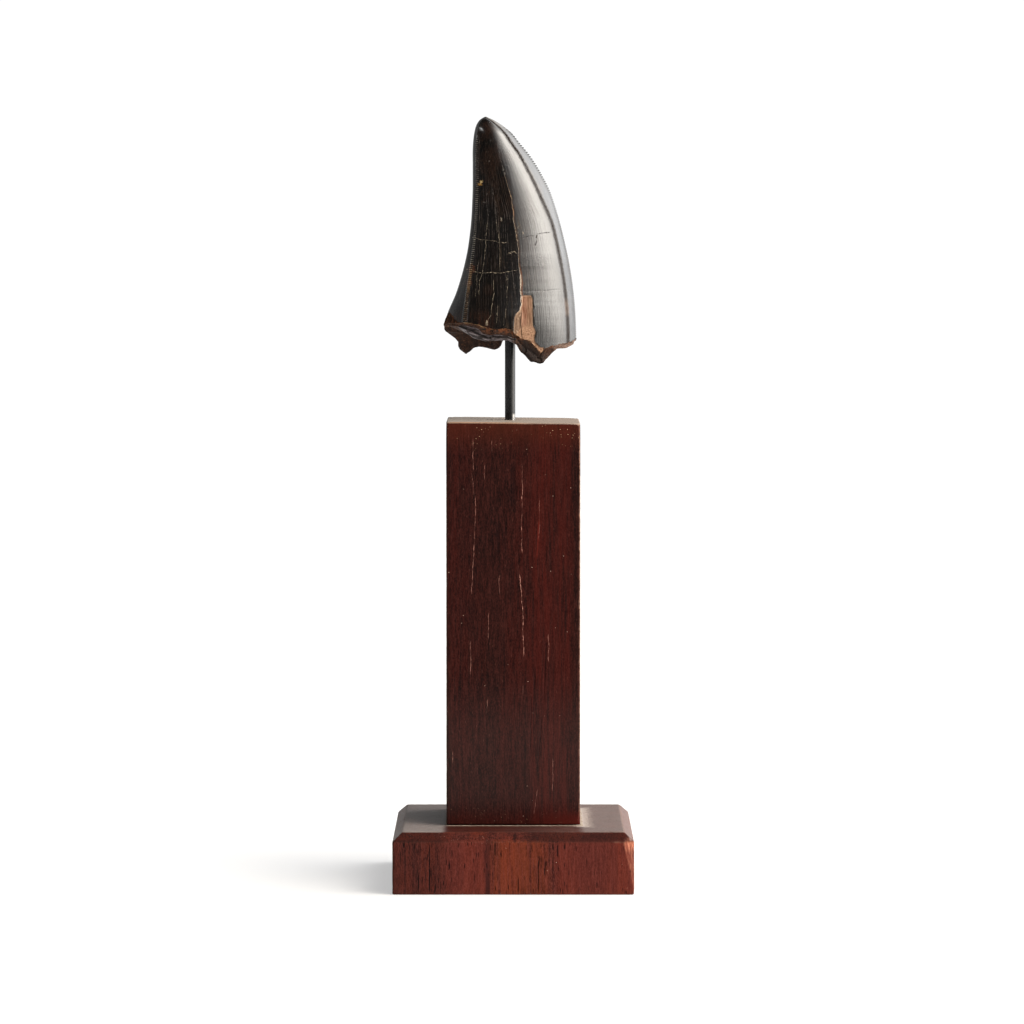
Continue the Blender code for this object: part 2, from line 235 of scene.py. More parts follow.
def stained_wood(name, tones, pore_share, pale_lines, dark_lines, front_y):
    """Hardwood with upright grain: growth bands, streaks, fibres, dark and filled pores, rubbed edges, partly
    painted highlight where the rub mark is strong.
    """
    dark, middle, red = tones
    finish = Finish(name, IOR=1.12)
    _, y, _, clouds, mark, blend, lay = finish.tools()
    sway = clouds((14, 14, 55), 2) - 0.5
    along = finish.place + sway * (2.4, 2.4, 0.0)
    growth = clouds((5.0, 5.0, 90), 3, 0.55, along).fade(0.36, 0.7)
    streaks = clouds((0.8, 0.8, 24), 5, 0.68, along)
    fibres = clouds((0.42, 0.42, 4.6), 4, 0.7, along)
    smoky = clouds((8, 8, 26), 3, 0.55).fade(0.48, 0.7)
    lighter, darker = tuple(2.3 * part for part in middle), tuple(0.4 * part for part in dark)
    finish.colour = blend(growth, middle, red)
    lay(streaks.fade(0.54, 0.34) * 0.75, dark)
    lay(smoky * 0.5, dark)
    lay(fibres.fade(0.5, 0.64) * 0.6, lighter)
    lay(fibres.fade(0.48, 0.36) * 0.7, darker)
    grain = clouds((0.22, 0.22, 0.7), 3, 0.7, along)
    lay(grain.fade(0.5, 0.64) * 0.5, lighter)
    lay(grain.fade(0.49, 0.38) * 0.55, darker)
    clusters = clouds((6, 6, 14), 2).fade(0.66 - pore_share, 0.8 - pore_share)
    pores = finish.cells((0.55, 0.55, 3.8), along).fade(0.27, 0.16) * clusters
    dashes = finish.cells((0.8, 0.8, 5.5), along + (31, 7, 3)).fade(0.1, 0.04)
    specks = finish.cells(2.4).fade(0.055, 0.03) * clouds((7, 7, 14), 2).fade(0.45, 0.6)
    wander = (clouds((2, 2, 4.5), 2) - 0.5) * 0.8 + (clouds((0.6, 0.6, 0.9), 2) - 0.5) * 0.25
    broken = clouds((0.6, 0.6, 1.3), 3).fade(0.4, 0.6)
    on_front = y.fade(front_y + 0.6, front_y + 0.1)
    lay(dashes * 0.4, tint(104, 66, 56))
    lay(pores * 0.9, tint(12, 5, 5))
    slits = strongest(scratch(finish, *ends, width, wander) * amount for *ends, width, amount in dark_lines)
    slits = slits * on_front * (0.66 + 0.34 * broken)
    lay(slits, tint(10, 4, 5))
    if pale_lines:
        pale = strongest(
            scratch(finish, *ends, 0.56 * width, wander) * amount for *ends, width, amount in pale_lines
        )
        lay(pale * on_front * (0.2 + 0.95 * broken), tint(172, 120, 106))
    lay(specks, tint(186, 158, 140))
    edge = mark("edge")
    # Pale rubbed edges; where the rub mark is strong, down the right-hand edges, the paleness is painted
    # highlight.
    rubbed_and_highlit = (edge + (clouds((0.8, 0.8, 0.9), 3) - 0.5) * 0.5).fade(0.42, 0.05) * mark("rub")
    lay(rubbed_and_highlit, tint(142, 108, 90))
    finish.dents, finish.streaks, finish.fibres = pores | slits, streaks, fibres
    finish.rough_spots = specks * 0.25, rubbed_and_highlit * 0.2
    return finish


def waxed(finish, extra):
    """The wood's satin wax, thinner over fibres and pores."""
    specks, rubbed_and_highlit = finish.rough_spots
    rough = 0.36 + (finish.streaks - 0.5) * 0.16 + finish.dents * 0.3 + specks + rubbed_and_highlit
    dimples = finish.clouds((1.8, 1.8, 3.2), 3) * 0.02
    height = finish.fibres * 0.012 + finish.streaks * 0.02 + dimples - finish.dents * 0.14
    return finish.done(Roughness=rough + extra, Normal=finish.relief(height))


def square_loop(half, corner, height, middle=(0.0, 0.0)):
    """Points of a level square, anticlockwise, crowded towards its rounded corners."""
    steps = np.linspace(0, 1, POINTS_A_SIDE, endpoint=False)
    steps = steps - CROWDING * np.sin(math.tau * steps) / math.tau
    straight = half - corner
    turn = np.linspace(0, math.pi / 2, POINTS_A_CORNER, endpoint=False)
    side_x = np.concatenate([np.full(POINTS_A_SIDE, half), straight + corner * np.cos(turn)])
    side_y = np.concatenate([-straight + 2 * straight * steps, straight + corner * np.sin(turn)])
    x = np.concatenate([side_x, -side_y, -side_x, side_y])
    y = np.concatenate([side_y, side_x, -side_y, -side_x])
    return np.stack([x + middle[0], y + middle[1], np.full(len(x), height)], 1)


def rounded_profile(corners, radius, step):
    """(half width, height) steps along a line whose corners are rounded off."""
    corners = np.array(corners, float)
    path = [corners[0]]
    for before, here, after in zip(corners, corners[1:], corners[2:]):
        back, on = before - here, after - here
        start = here + back / np.linalg.norm(back) * radius
        end = here + on / np.linalg.norm(on) * radius
        for t in np.linspace(0, 1, 6):
            path.append((1 - t) ** 2 * start + 2 * t * (1 - t) * here + t * t * end)
    path.append(corners[-1])
    fine = [path[0]]
    for one, other in zip(path, path[1:]):
        pieces = max(1, math.ceil(np.linalg.norm(other - one) / step))
        fine += [one + (other - one) * k / pieces for k in range(1, pieces + 1)]
    return fine


def lumps(points, size, seed):
    """Smooth noise from -1 to 1 at each point."""
    shifted = points / size + np.array([seed * 7.3, seed * 3.1, seed * 5.7])
    return np.array([noise.noise(Vector(point)) for point in shifted])


def skin(name, loops, materials):
    """A closed mesh from a stack of loops, each end drawn together in one point."""
    loops = np.array(loops)
    count, around = loops.shape[:2]
    points = np.concatenate([loops.reshape(-1, 3), [loops[0].mean(0)], [loops[-1].mean(0)]])
    here = np.arange(around)
    after = (here + 1) % around
    rows = np.arange(count - 1)[:, None] * around
    sides = np.stack([rows + here, rows + after, rows + around + after, rows + around + here], 2)
    first, last = count * around, count * around + 1
    top = (count - 1) * around
    caps = [(first, b, a) for a, b in zip(here.tolist(), after.tolist())]
    caps += [(top + a, top + b, last) for a, b in zip(here.tolist(), after.tolist())]
    return mesh_object(name, points, sides.reshape(-1, 4).tolist() + caps, materials)


def mesh_object(name, points, faces, materials, smooth_angle=32):
    mesh = bpy.data.meshes.new(name)
    mesh.from_pydata((np.asarray(points) * MM).tolist(), [], faces)
    mesh.shade_smooth()
    mesh.set_sharp_from_angle(angle=math.radians(smooth_angle))
    made = bpy.data.objects.new(name, mesh)
    bpy.context.scene.collection.objects.link(made)
    for material in materials:
        mesh.materials.append(material)
    return made


def carry(made, name, values):
    """Stores a number at each of the mesh's points for its finish to read."""
    made.data.attributes.new(name, "FLOAT", "POINT").data.foreach_set("value", np.asarray(values, np.float32))


def points_of(made):
    flat = np.empty(len(made.data.vertices) * 3)
    made.data.vertices.foreach_get("co", flat)
    return flat.reshape(-1, 3) / MM


half = PLINTH_SIDE / 2
shoulder = PLINTH_HEIGHT - CHAMFER_DROP
plinth_profile = rounded_profile(
    [(2, 0), (half, 0), (half, shoulder), (half - CHAMFER_INSET, PLINTH_HEIGHT), (3, PLINTH_HEIGHT)],
    PLINTH_EDGE_ROUND, PROFILE_STEP,
)
plinth_loops = np.array([square_loop(width, min(0.5, width / 3), height) for width, height in plinth_profile])
spots = plinth_loops.reshape(-1, 3)
outwards = (CORNER_SIDE - CORNER_FOOT).cross(CORNER_FRONT - CORNER_FOOT).normalized()
outwards = np.array(outwards if outwards.x > 0 else -outwards)
splinters = 0.22 * lumps(spots * (1, 1, 0.22), 0.6, 1) + 0.15 * lumps(spots, 1.4, 2)
beyond = (spots - np.array(CORNER_FOOT)) @ outwards
spots = spots - outwards * np.maximum(beyond + 0.12 + splinters, 0)[:, None] * (beyond > -1.0)[:, None]
corner_chip = np.clip((beyond + 0.25) / 0.25, 0, 1)
wide, deep, high = abs(spots[:, 0]), abs(spots[:, 1]), spots[:, 2]
near_edge = np.sort(np.stack([half - wide, half - deep, abs(shoulder - high), abs(high)]), axis=0)[1]
on_top = (PLINTH_HEIGHT - high < 0.4) | (high > shoulder)
rim = np.maximum(wide, deep) - (half - CHAMFER_INSET)
near_edge = np.where(on_top, np.minimum(near_edge, abs(rim)), near_edge)
dent = np.maximum(lumps(spots, 2.2, 3) - 0.1, 0) * np.exp(-near_edge / 0.5) * 0.55
to_middle = -spots / np.linalg.norm(spots, axis=1)[:, None] * (1, 1, 0.4)
spots = spots + to_middle * dent[:, None]
spots[:, 2] = np.clip(spots[:, 2], 0, PLINTH_HEIGHT)
PLINTH_TONES = tint(42, 21, 19), tint(66, 31, 26), tint(92, 38, 26)
PLINTH_SLITS = [  # x and height of the top, of the foot, width, strength
    (-26.7, 8.3, -26.7, 0.7, 0.2, 1), (-23.5, 14.2, -23.6, 0.7, 0.24, 1),
    (-29.2, 14.2, -29.2, 11.1, 0.15, 0.9), (-18.0, 9.7, -18.1, 6.9, 0.22, 1),
    (-5.3, 14.8, -5.3, 11.1, 0.26, 1), (-3.4, 12.8, -3.4, 10.3, 0.2, 1), (5.1, 14.2, 5.2, 12.0, 0.2, 1),
    (7.2, 11.1, 7.0, 0.7, 0.22, 1), (9.0, 9.7, 8.8, 5.2, 0.24, 1), (12.5, 14.2, 12.4, 10.6, 0.3, 1),
    (14.5, 14.8, 14.3, 12.5, 0.3, 1), (1.4, 5.2, 1.4, 0.9, 0.2, 0.9), (16.0, 15.0, 15.8, 13.9, 0.26, 0.9),
    (20.6, 10.4, 20.5, 8.0, 0.2, 0.8), (-17.2, 12.8, -17.3, 10.2, 0.2, 0.8),
    (-10.8, 6.6, -10.9, 3.4, 0.16, 0.7), (3.6, 12.4, 3.6, 10.8, 0.16, 0.7),
]
finish = stained_wood("plinth_wood", PLINTH_TONES, 0.2, [], PLINTH_SLITS, -half)
x, y, z, clouds, mark, blend, lay = finish.tools()
raw = mark("raw")
on_front = y.fade(-33, -34)
orange = x.fade(-8, -5) * x.fade(12, 6) * on_front * finish.streaks.fade(0.3, 0.6)
lay(orange * 0.42, tint(112, 50, 26))
redder = x.fade(-22, -17) * x.fade(-5, -8) | x.fade(10, 14)
lay(redder * 0.35 * on_front, tint(96, 40, 32))
swaying = (clouds((2.5, 2.5, 9), 3) - 0.5) * 1.6
banded = abs(x + swaying + 7.3).fade(1.0, 0.35) * on_front * (0.55 + 0.45 * z.fade(9, 3))
lay(banded * 0.8, tint(40, 19, 18))
lay(finish.dents * 0.85, tint(10, 5, 5))
raw = raw * (0.3 + 0.7 * z.fade(11.5, 14))
lay(raw, blend(clouds((0.5, 0.5, 3), 3).fade(0.4, 0.6), tint(150, 94, 72), tint(112, 60, 46)))
film_edge = mark("film") + (clouds(0.8, 5, 0.75) - 0.5) * 4.5
film = film_edge.fade(0.0, 1.6)
red_middle = x.fade(-21, -17) * x.fade(6, 2)
# Painted shade: the front chamfer is painted darker, less so in its red middle.
painted_chamfer_shade = z.fade(14.4, 15.2) * y.fade(-30, -32) * (1 - red_middle * 0.7)
lay(painted_chamfer_shade * 0.68, tint(34, 18, 16))
sway_small = (clouds((0.6, 0.6, 0.8), 2) - 0.5) * 1.6
flecks = finish.cells(0.8).fade(0.16, 0.08) * clouds((3, 3, 2), 2).fade(0.44, 0.62)
flecks = flecks * z.fade(13.4, 15.0) * y.fade(-30, -31.5) * x.fade(20, -12)
lay(flecks * 0.7, tint(140, 112, 100))
knot = (abs(x - 0.4 + sway_small) / 0.6) ** 2 + (abs(z - 16.0) / 1.4) ** 2
knot = knot.fade(1.3, 0.2) * y.fade(-30, -31.5)
left_darker = x.fade(-16, -22) * on_front
lay(knot * 0.8 | left_darker * 0.4, tint(30, 17, 16))
level = z.fade(17.2, 17.45)
# Painted reflections on the top: the strip in front of the column is painted dark red for the column mirrored
# in it, the rest pale grey, browner to the right, for the bright backdrop mirrored at a grazing angle.
column_reflection_strip = y.fade(-17.5, -18.5) * abs(x).fade(20.5, 18.5)
painted_top_sheen = level * (1 - column_reflection_strip) * (0.75 + 0.25 * clouds(1.4, 4, 0.65).fade(0.35, 0.65))
lay(painted_top_sheen * 0.75, blend(x.fade(-5, 20), tint(134, 128, 124), tint(112, 100, 96)))
lay(level * column_reflection_strip * 0.6, tint(52, 28, 24))
# Painted sheen: the side chamfers are painted pale grey on the left and pale pink on the right, for the light
# they mirror.
sides = z.fade(14.8, 15.4) * (1 - level) * (abs(x) - abs(y)).fade(-0.1, 0.3)
lay(sides * 0.6, blend(x.fade(-5, 5), tint(140, 131, 127), tint(116, 99, 94)))
dusty = clouds(0.5, 3, 0.6).fade(0.3, 0.8) * level * x.fade(-10, 28)
lay(dusty * 0.5, tint(120, 108, 102))
# Pale wax film round the column's foot; its wider, brighter spread on the right is painted highlight.
lay(film * 0.72, tint(184, 173, 164))
plinth_wood = waxed(finish, film * 0.3 + raw * 0.3)
plinth = skin("plinth_block", spots.reshape(plinth_loops.shape), [plinth_wood])
spots = points_of(plinth)
carry(plinth, "edge", np.append(near_edge, [9, 9]))
# Rub marks, stronger down the right side, where they paint a highlight as well as rubbing.
carry(plinth, "rub", np.append(0.05 + 0.3 * (spots[:-2, 0] > 28), [0, 0]))
carry(plinth, "raw", np.append(corner_chip, [0, 0]))
# The film of wax lies beside the column, whose sides are 19 mm from a middle 0.6 mm behind the plinth's own.
# Its wider, brighter spread on the right is painted highlight.
beside_column = np.maximum(abs(spots[:, 0]) - 19, abs(spots[:, 1] - 0.6) - 19)
right_of_column = np.clip((spots[:, 0] - 16) / 3, 0, 1)
film = (0.3 + 1.5 * right_of_column) * (1 - beside_column / (0.9 + 3.4 * right_of_column))
film = np.maximum(film, 0.9 - abs(spots[:, 1] + 18.6) / 0.5 - np.maximum(abs(spots[:, 0] + 20.5) - 2.5, 0))
carry(plinth, "film", np.where(spots[:, 2] > 17.3, film, -3))
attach(plinth, "root")
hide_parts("plinth")

# Column ---------------------------------------------------------------------------------------------------
# A square post of the same stained hardwood, darker than the plinth, its pores filled with pale wax. Its
# edges are just broken and rubbed pale at the top; down the right edge the paleness is painted highlight, and
# the top end is painted pale as a reflection. The rod's hole is drilled in its top.

COLUMN_SIDE = 38.0
COLUMN_FOOT, COLUMN_TOP = 17.8, 131.7
COLUMN_EDGE_ROUND = 0.45
TOP_RISE, TOP_TILT = 0.42, -0.011
COLUMN_MIDDLE = (0.0, 0.6)
ROD_MIDDLE = (-0.9, 0.6)
HOLE_RADIUS, HOLE_DEPTH, HOLE_RUB = 1.8, 12.3, 0.35

half = COLUMN_SIDE / 2
column_profile = rounded_profile(
    [(2, COLUMN_FOOT), (half, COLUMN_FOOT), (half, COLUMN_TOP), (half - 2, COLUMN_TOP)],
    COLUMN_EDGE_ROUND, PROFILE_STEP,
)
loops = [square_loop(width, min(0.55, width / 3), height, COLUMN_MIDDLE) for width, height in column_profile]
rim = loops[-1]
bearing = np.arctan2(rim[:, 1] - ROD_MIDDLE[1], rim[:, 0] - ROD_MIDDLE[0])
circle = np.stack([np.cos(bearing), np.sin(bearing), np.zeros(len(bearing))], 1)


def hole_loop(radius, height):
    return circle * radius + np.array([*ROD_MIDDLE, height])


mouth = hole_loop(HOLE_RADIUS + HOLE_RUB, COLUMN_TOP)
loops += [rim + (mouth - rim) * share for share in np.linspace(0, 1, 17)[1:]]
loops += [
    hole_loop(HOLE_RADIUS + HOLE_RUB * 0.35, COLUMN_TOP - 0.12),
    hole_loop(HOLE_RADIUS, COLUMN_TOP - HOLE_RUB),
]
loops += [hole_loop(HOLE_RADIUS, COLUMN_TOP - depth) for depth in np.linspace(1.5, HOLE_DEPTH, 10)]
loops += [hole_loop(0.9, COLUMN_TOP - HOLE_DEPTH)]
loops = np.array(loops)
spots = loops.reshape(-1, 3)
from_middle = spots - np.array([*COLUMN_MIDDLE, 0])
wide, deep, below_top = abs(from_middle[:, 0]), abs(from_middle[:, 1]), COLUMN_TOP - spots[:, 2]
near_edge = np.sort(np.stack([half - wide, half - deep, below_top]), axis=0)[1]
dent = np.maximum(lumps(spots, 2.6, 5) - 0.15, 0) * np.exp(-near_edge / 0.6) * 0.5
corner = np.sqrt(np.maximum(half - wide, 0) ** 2 + np.maximum(half - deep, 0) ** 2)
dent += 0.5 * np.exp(-corner / 1.2) * np.exp(-below_top / 1.2)
inwards = -from_middle / np.linalg.norm(from_middle[:, :2], axis=1)[:, None] * (1, 1, 0)
inwards[:, 2] = -0.6 * np.exp(-below_top / 0.8)
spots = spots + inwards * dent[:, None]
spots[:, 2] += (TOP_RISE + TOP_TILT * spots[:, 0]) * np.clip((spots[:, 2] - 120) / 10, 0, 1)
COLUMN_TONES = tint(24, 12, 11), tint(38, 16, 13), tint(50, 16, 12)
PALE_LINES = [  # x and height of the top, of the foot, width, strength
    (-11.4, 127.5, -11.3, 118.4, 0.16, 0.5), (-10.7, 111.3, -10.8, 103.1, 0.16, 0.45),
    (-11.1, 97.7, -11.8, 83.5, 0.16, 0.5), (-12.1, 70.1, -12.1, 60.7, 0.17, 0.55),
    (-8.1, 120.4, -8.0, 115.9, 0.15, 0.45), (-6.0, 127.5, -5.9, 123.8, 0.15, 0.45),
    (2.6, 117.0, 2.6, 109.9, 0.16, 0.7), (2.4, 103.1, 2.4, 95.2, 0.16, 0.6),
    (7.4, 112.2, 7.4, 106.0, 0.15, 0.4), (-3.9, 89.2, -3.9, 83.5, 0.14, 0.4),
    (-7.0, 78.4, -7.0, 70.7, 0.15, 0.45), (-7.3, 53.6, -7.6, 49.6, 0.16, 0.5),
    (1.7, 89.2, 2.7, 78.4, 0.17, 0.95), (2.7, 78.4, 2.9, 65.9, 0.17, 0.9),
    (2.9, 57.9, 2.8, 54.5, 0.15, 0.5), (10.0, 72.1, 10.1, 63.9, 0.16, 0.7),
    (-17.3, 38.8, -17.3, 34.8, 0.14, 0.5), (-11.7, 117.7, -11.0, 111.7, 0.15, 0.35),
    (-10.7, 103.4, -11.1, 97.7, 0.15, 0.35), (2.3, 121.3, 2.6, 117.0, 0.14, 0.35),
    (2.65, 109.9, 2.4, 103.1, 0.15, 0.35), (7.5, 106.0, 7.3, 99.0, 0.15, 0.4),
    (11.3, 36.8, 11.1, 27.3, 0.15, 0.5), (6.8, 27.9, 5.9, 21.0, 0.2, 0.6),
]
DARK_LINES = [
    (6.1, 62.7, 6.0, 57.0, 0.5, 0.8), (9.0, 61.9, 9.0, 57.0, 0.3, 0.8), (8.1, 48.2, 7.1, 36.2, 0.22, 0.9),
    (5.1, 54.5, 4.9, 39.3, 0.24, 0.9), (9.2, 70.4, 8.7, 53.3, 0.25, 0.7),
    (-0.2, 121.3, -0.1, 108.6, 1.0, 0.4), (-4.6, 103.4, -4.0, 94.8, 0.6, 0.4),
]
finish = stained_wood("column_wood", COLUMN_TONES, 0.0, PALE_LINES, DARK_LINES, COLUMN_MIDDLE[1] - half)
x, y, z, clouds, mark, blend, lay = finish.tools()
bright_red = scratch(finish, 7.3, 104.5, 6.7, 93.5, 0.3, 0.0) * 0.8
lay(bright_red * (0.4 + 0.6 * finish.streaks), tint(92, 30, 22))
on_front = y.fade(-17.5, -18.2)
redder = x.fade(3, 6.5) * x.fade(17.6, 15.5) * on_front * finish.streaks.fade(0.3, 0.6)
lay(redder * 0.24, tint(84, 24, 17))
dusty_low = z.fade(64, 40) * z.fade(19, 27) * on_front * (0.6 + 0.8 * finish.streaks)
lay(dusty_low * 0.024, tint(140, 134, 130))
near_top = z.fade(COLUMN_TOP - 9, COLUMN_TOP) * on_front
lay(near_top * 0.45, tint(72, 30, 18))
near_foot = z.fade(25, 20) * on_front
crumbs = finish.cells(0.9).fade(0.17, 0.08) * (near_top | near_foot * 0.45)
crumbs = crumbs * (clouds((4, 4, 3), 2) + x.fade(6, 12) * 0.08).fade(0.48, 0.6)
lay(crumbs * 0.9, tint(186, 150, 118))
# Painted light: a reddish glow over the column's foot, stronger towards the right.
lay(z.fade(23, 18.5) * (0.15 + 0.7 * x.fade(2, 18)), tint(70, 22, 17))
end = mark("end")
# Painted reflection: the top end is painted pale grey-beige for the bright backdrop it mirrors at a grazing
# angle.
lay(end * 0.8, blend(x.fade(-19, 10), tint(150, 140, 130), tint(146, 132, 120)))
arris = end.fade(0.1, 0.5) * y.fade(-17.2, -18.0) * x.fade(8, -2)
lay(arris * 0.7, tint(138, 104, 80))
column_wood = waxed(finish, end * 0.1)
column = skin("column_post", spots.reshape(loops.shape), [column_wood])
spots = points_of(column)
carry(column, "edge", np.append(near_edge, [9, 9]))
below_top, right = COLUMN_TOP - spots[:, 2], spots[:, 0] > 17
# The rub mark is strongest down the right edge, where it paints a highlight as well as rubbing.
rub = np.where(right, 0.95 - 0.45 * (below_top / (COLUMN_TOP - COLUMN_FOOT)), 0.12)
carry(column, "rub", np.where((below_top < 1.2) & ~right, 0.35, rub))
heights = np.append(from_middle[:, 2], [COLUMN_FOOT, 119])
carry(column, "end", np.clip((heights - COLUMN_TOP + 0.4) / 0.3, 0, 1))
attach(column, "root")
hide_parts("column")

# Wax line -------------------------------------------------------------------------------------------------
# Pale polishing wax, dried where the column meets the plinth. It was never wiped out of the joint, so it
# stands as a thin uneven ridge round the column's foot, widest on the right.

RIDGE_HEIGHT, RIDGE_WIDTH = 0.17, 0.5
ridge = [(-0.12, 0.0), (0.0, 0.62), (0.22, 0.98), (0.55, 0.72), (0.85, 0.3), (1.0, 0.0)]
foot = square_loop(half - 0.15, 0.4, PLINTH_HEIGHT, COLUMN_MIDDLE)
away = square_loop(half + 1, 1.4, PLINTH_HEIGHT, COLUMN_MIDDLE) - foot
away /= np.linalg.norm(away, axis=1)[:, None]
uneven = 1 + 0.35 * lumps(foot, 3.1, 8) + 0.25 * lumps(foot, 0.9, 9)
uneven *= 1 + 0.9 * np.clip((foot[:, 0] - 17) / 2, 0, 1)
rings = []
for out, up in ridge:
    ring = foot + away * (out * RIDGE_WIDTH * uneven)[:, None]
    ring[:, 2] += (up * RIDGE_HEIGHT * np.clip(uneven, 0.4, 1.5)) - 0.03
    rings.append(ring)
count, around = len(rings), len(foot)
faces = [
    (
        one * around + i, one * around + (i + 1) % around,
        (one + 1) % count * around + (i + 1) % around, (one + 1) % count * around + i,
    )
    for one in range(count) for i in range(around)
]
finish = Finish("dried_wax", IOR=1.45)
dusty = finish.clouds(0.8, 4, 0.6)
wax_colour = finish.blend(dusty.fade(0.35, 0.65), tint(150, 138, 122), tint(112, 94, 80))
dried_wax = finish.done(
    Base_Color=wax_colour, Roughness=0.6 + dusty * 0.2, Normal=finish.relief(dusty * 0.06)
)
wax_line = mesh_object("wax_line", np.concatenate(rings), [face[::-1] for face in faces], [dried_wax], 60)
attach(wax_line, "root")

# Rod ------------------------------------------------------------------------------------------------------
# A bar of 3 mm steel, painted satin black, pushed into the column's hole below and into the tooth above. The
# paint is scuffed to bare metal at its foot, with a painted glint on the foot's right side.

finish = Finish("black_steel_paint", IOR=1.5)
brushed = finish.clouds((0.3, 0.3, 6), 3)
pits = finish.clouds((0.5, 0.5, 0.9), 3)
at_foot = (pits + (finish.z.fade(134.2, 132.0) - 1) * 0.5).fade(0.5, 0.62)
# Scuffs to bare metal round the foot, and a painted glint at the foot's right side.
scuffs_and_glint = at_foot | finish.z.fade(134.2, 133.4) * (finish.x + 0.9).fade(0.5, 1.0)
paint = finish.blend(pits.fade(0.3, 0.7), tint(11, 11, 12), tint(19, 19, 20))
paint = finish.blend(scuffs_and_glint, paint, tint(150, 148, 145))
black_paint = finish.done(
    Base_Color=paint, Metallic=scuffs_and_glint * 0.9, Roughness=0.2 + pits * 0.1,
    Normal=finish.relief(brushed * 0.008 + pits * 0.012),
)
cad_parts["rod"].data.materials.clear()
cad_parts["rod"].data.materials.append(black_paint)

# Tooth ----------------------------------------------------------------------------------------------------
# The crown of a tyrannosaur tooth, point up, its broken end pushed onto the rod. Black-brown glossy enamel,
# finely wrinkled and cracked, lies over brown dentine; two keels carry rows of small chisel-edged denticles.

TIP = np.array([-7.8, 2.1, 218.8])
TIP_HEIGHT, BREAK_HEIGHT = 218.8, 155.0
CONCAVE_OUTLINE = [  # height, x of the left side
    (218.5, -8.6), (217.8, -9.6), (216.2, -10.6), (213.8, -11.2), (209.3, -11.6), (204.7, -11.6),
    (195.6, -11.7), (186.4, -12.3), (179.6, -13.3), (172.7, -15.0), (168.1, -16.5), (163.5, -18.5),
    (161.2, -19.4), (159.0, -20.1), (154.0, -20.6), (148.0, -20.8),
]
CONVEX_OUTLINE = [  # height, x of the right side
    (218.5, -7.1), (217.8, -5.5), (216.2, -3.0), (213.8, -0.1), (211.5, 1.8), (207.0, 5.4),
    (202.4, 8.2), (197.8, 10.5), (191.0, 12.8), (184.1, 14.6), (177.3, 16.1), (170.4, 17.2),
    (163.5, 17.9), (157.0, 18.2), (148.0, 18.1),
]
DISTAL_KEEL = [  # height, x of the keel on the concave side
    (218.5, -8.3), (216.2, -9.6), (213.8, -10.0), (209.3, -10.2), (196.0, -10.3), (188.0, -10.7),
    (178.9, -11.6), (173.4, -12.3), (168.0, -13.05), (161.4, -13.8), (155.0, -14.4), (148.0, -14.8),
]
GROOVE_INSET = [  # height, distance of the groove inside the right side
    (218.5, 0.7), (216.2, 1.5), (213.8, 2.1), (209.3, 2.8), (203.0, 3.4), (196.0, 3.4), (189.0, 2.5),
    (178.0, 2.5), (166.0, 2.5), (148.0, 2.5),
]
THICKNESS_AT_BREAK, THICKNESS_AT_TIP = 0.66, 0.80
CROWN_LEAN_BACK = 1.5
MESIAL_KEEL_TURN = math.radians(5)
KEEL_HEIGHT, KEEL_WIDTH = 0.55, 0.8
GROOVE_DEPTH, GROOVE_WIDTH = 0.14, 0.28
RELIEF_FADE = 4.6
GROOVE = 0.82  # places round the crown: 0 is the distal keel, 1 the mesial keel, 2 the distal keel again
KEEL_TO_KEEL = 44.0  # round one side, halfway up
PITCH, MESIAL_PITCH = 0.56, 0.64
SLOT_DEPTH, SLOT_SHARE, SLOT_REACH = 0.36, 0.24, 0.95
MESIAL_SLOT_DEPTH = 0.62
SERRATED_UP_TO = 213.5
NOWHERE, IN_THE_CAVITY = -9.0, 20.0  # marks of points outside every outline, and deeper than the break
SHADE_LINE = [  # height, x where the dark side's worn enamel gives way to the glossy right
    (218.4, -7.3), (217.4, -6.1), (216.4, -5.7), (213.9, -5.5), (212.9, -5.15), (210.1, -4.3),
    (207.0, -3.45), (204.6, -2.25), (202.0, -1.7), (199.1, -1.1), (196.4, -0.65), (193.5, -0.2),
    (186.0, 0.7), (176.0, 1.8), (165.0, 2.2), (155.0, 1.0),
]
MAIN_CRACK = [  # height, x
    (210.8, -4.5), (206.5, -3.5), (202.6, -2.6), (199.9, -1.9), (197.6, -1.1), (195.4, -0.55), (193.5, -0.25),
    (192.0, -0.1), (188.8, 0.1), (187.1, 0.6), (185.1, 0.9), (182.3, 1.3), (179.5, 1.5), (176.6, 1.6),
    (175.2, 1.8), (173.5, 2.1), (171.5, 2.2), (169.5, 2.1), (167.6, 2.3), (165.3, 2.2), (163.9, 1.9),
    (162.5, 0.7), (160.5, 0.4), (157.0, 0.2),
]
LOST_ENAMEL = [  # x, height round the squared hole in the enamel and the broken foot below it
    (2.5, 167.8), (5.2, 168.0), (5.7, 166.7), (5.7, 160.9), (5.8, 159.6), (6.6, 157.7), (6.2, 156.1),
    (6.3, 154.8), (7.7, 153.3), (8.9, 153.1), (9.4, 150.0), (1.2, 150.0), (1.0, 157.0), (2.4, 159.0),
    (2.4, 163.0),
]
FLAKED_ENAMEL = [  # the shallower flake beside it
    (2.6, 168.0), (2.4, 165.3), (2.0, 163.9), (0.7, 162.6), (0.3, 161.6), (0.1, 157.9), (0.6, 154.0),
    (4.0, 154.0), (4.0, 168.0),
]
BARE_CORNER = [
    (-24, 163.4), (-18.9, 163.4), (-18.1, 162.8), (-16.9, 161.3), (-15.8, 160.3), (-14.6, 159.9),
    (-14.6, 150), (-24, 150),
]
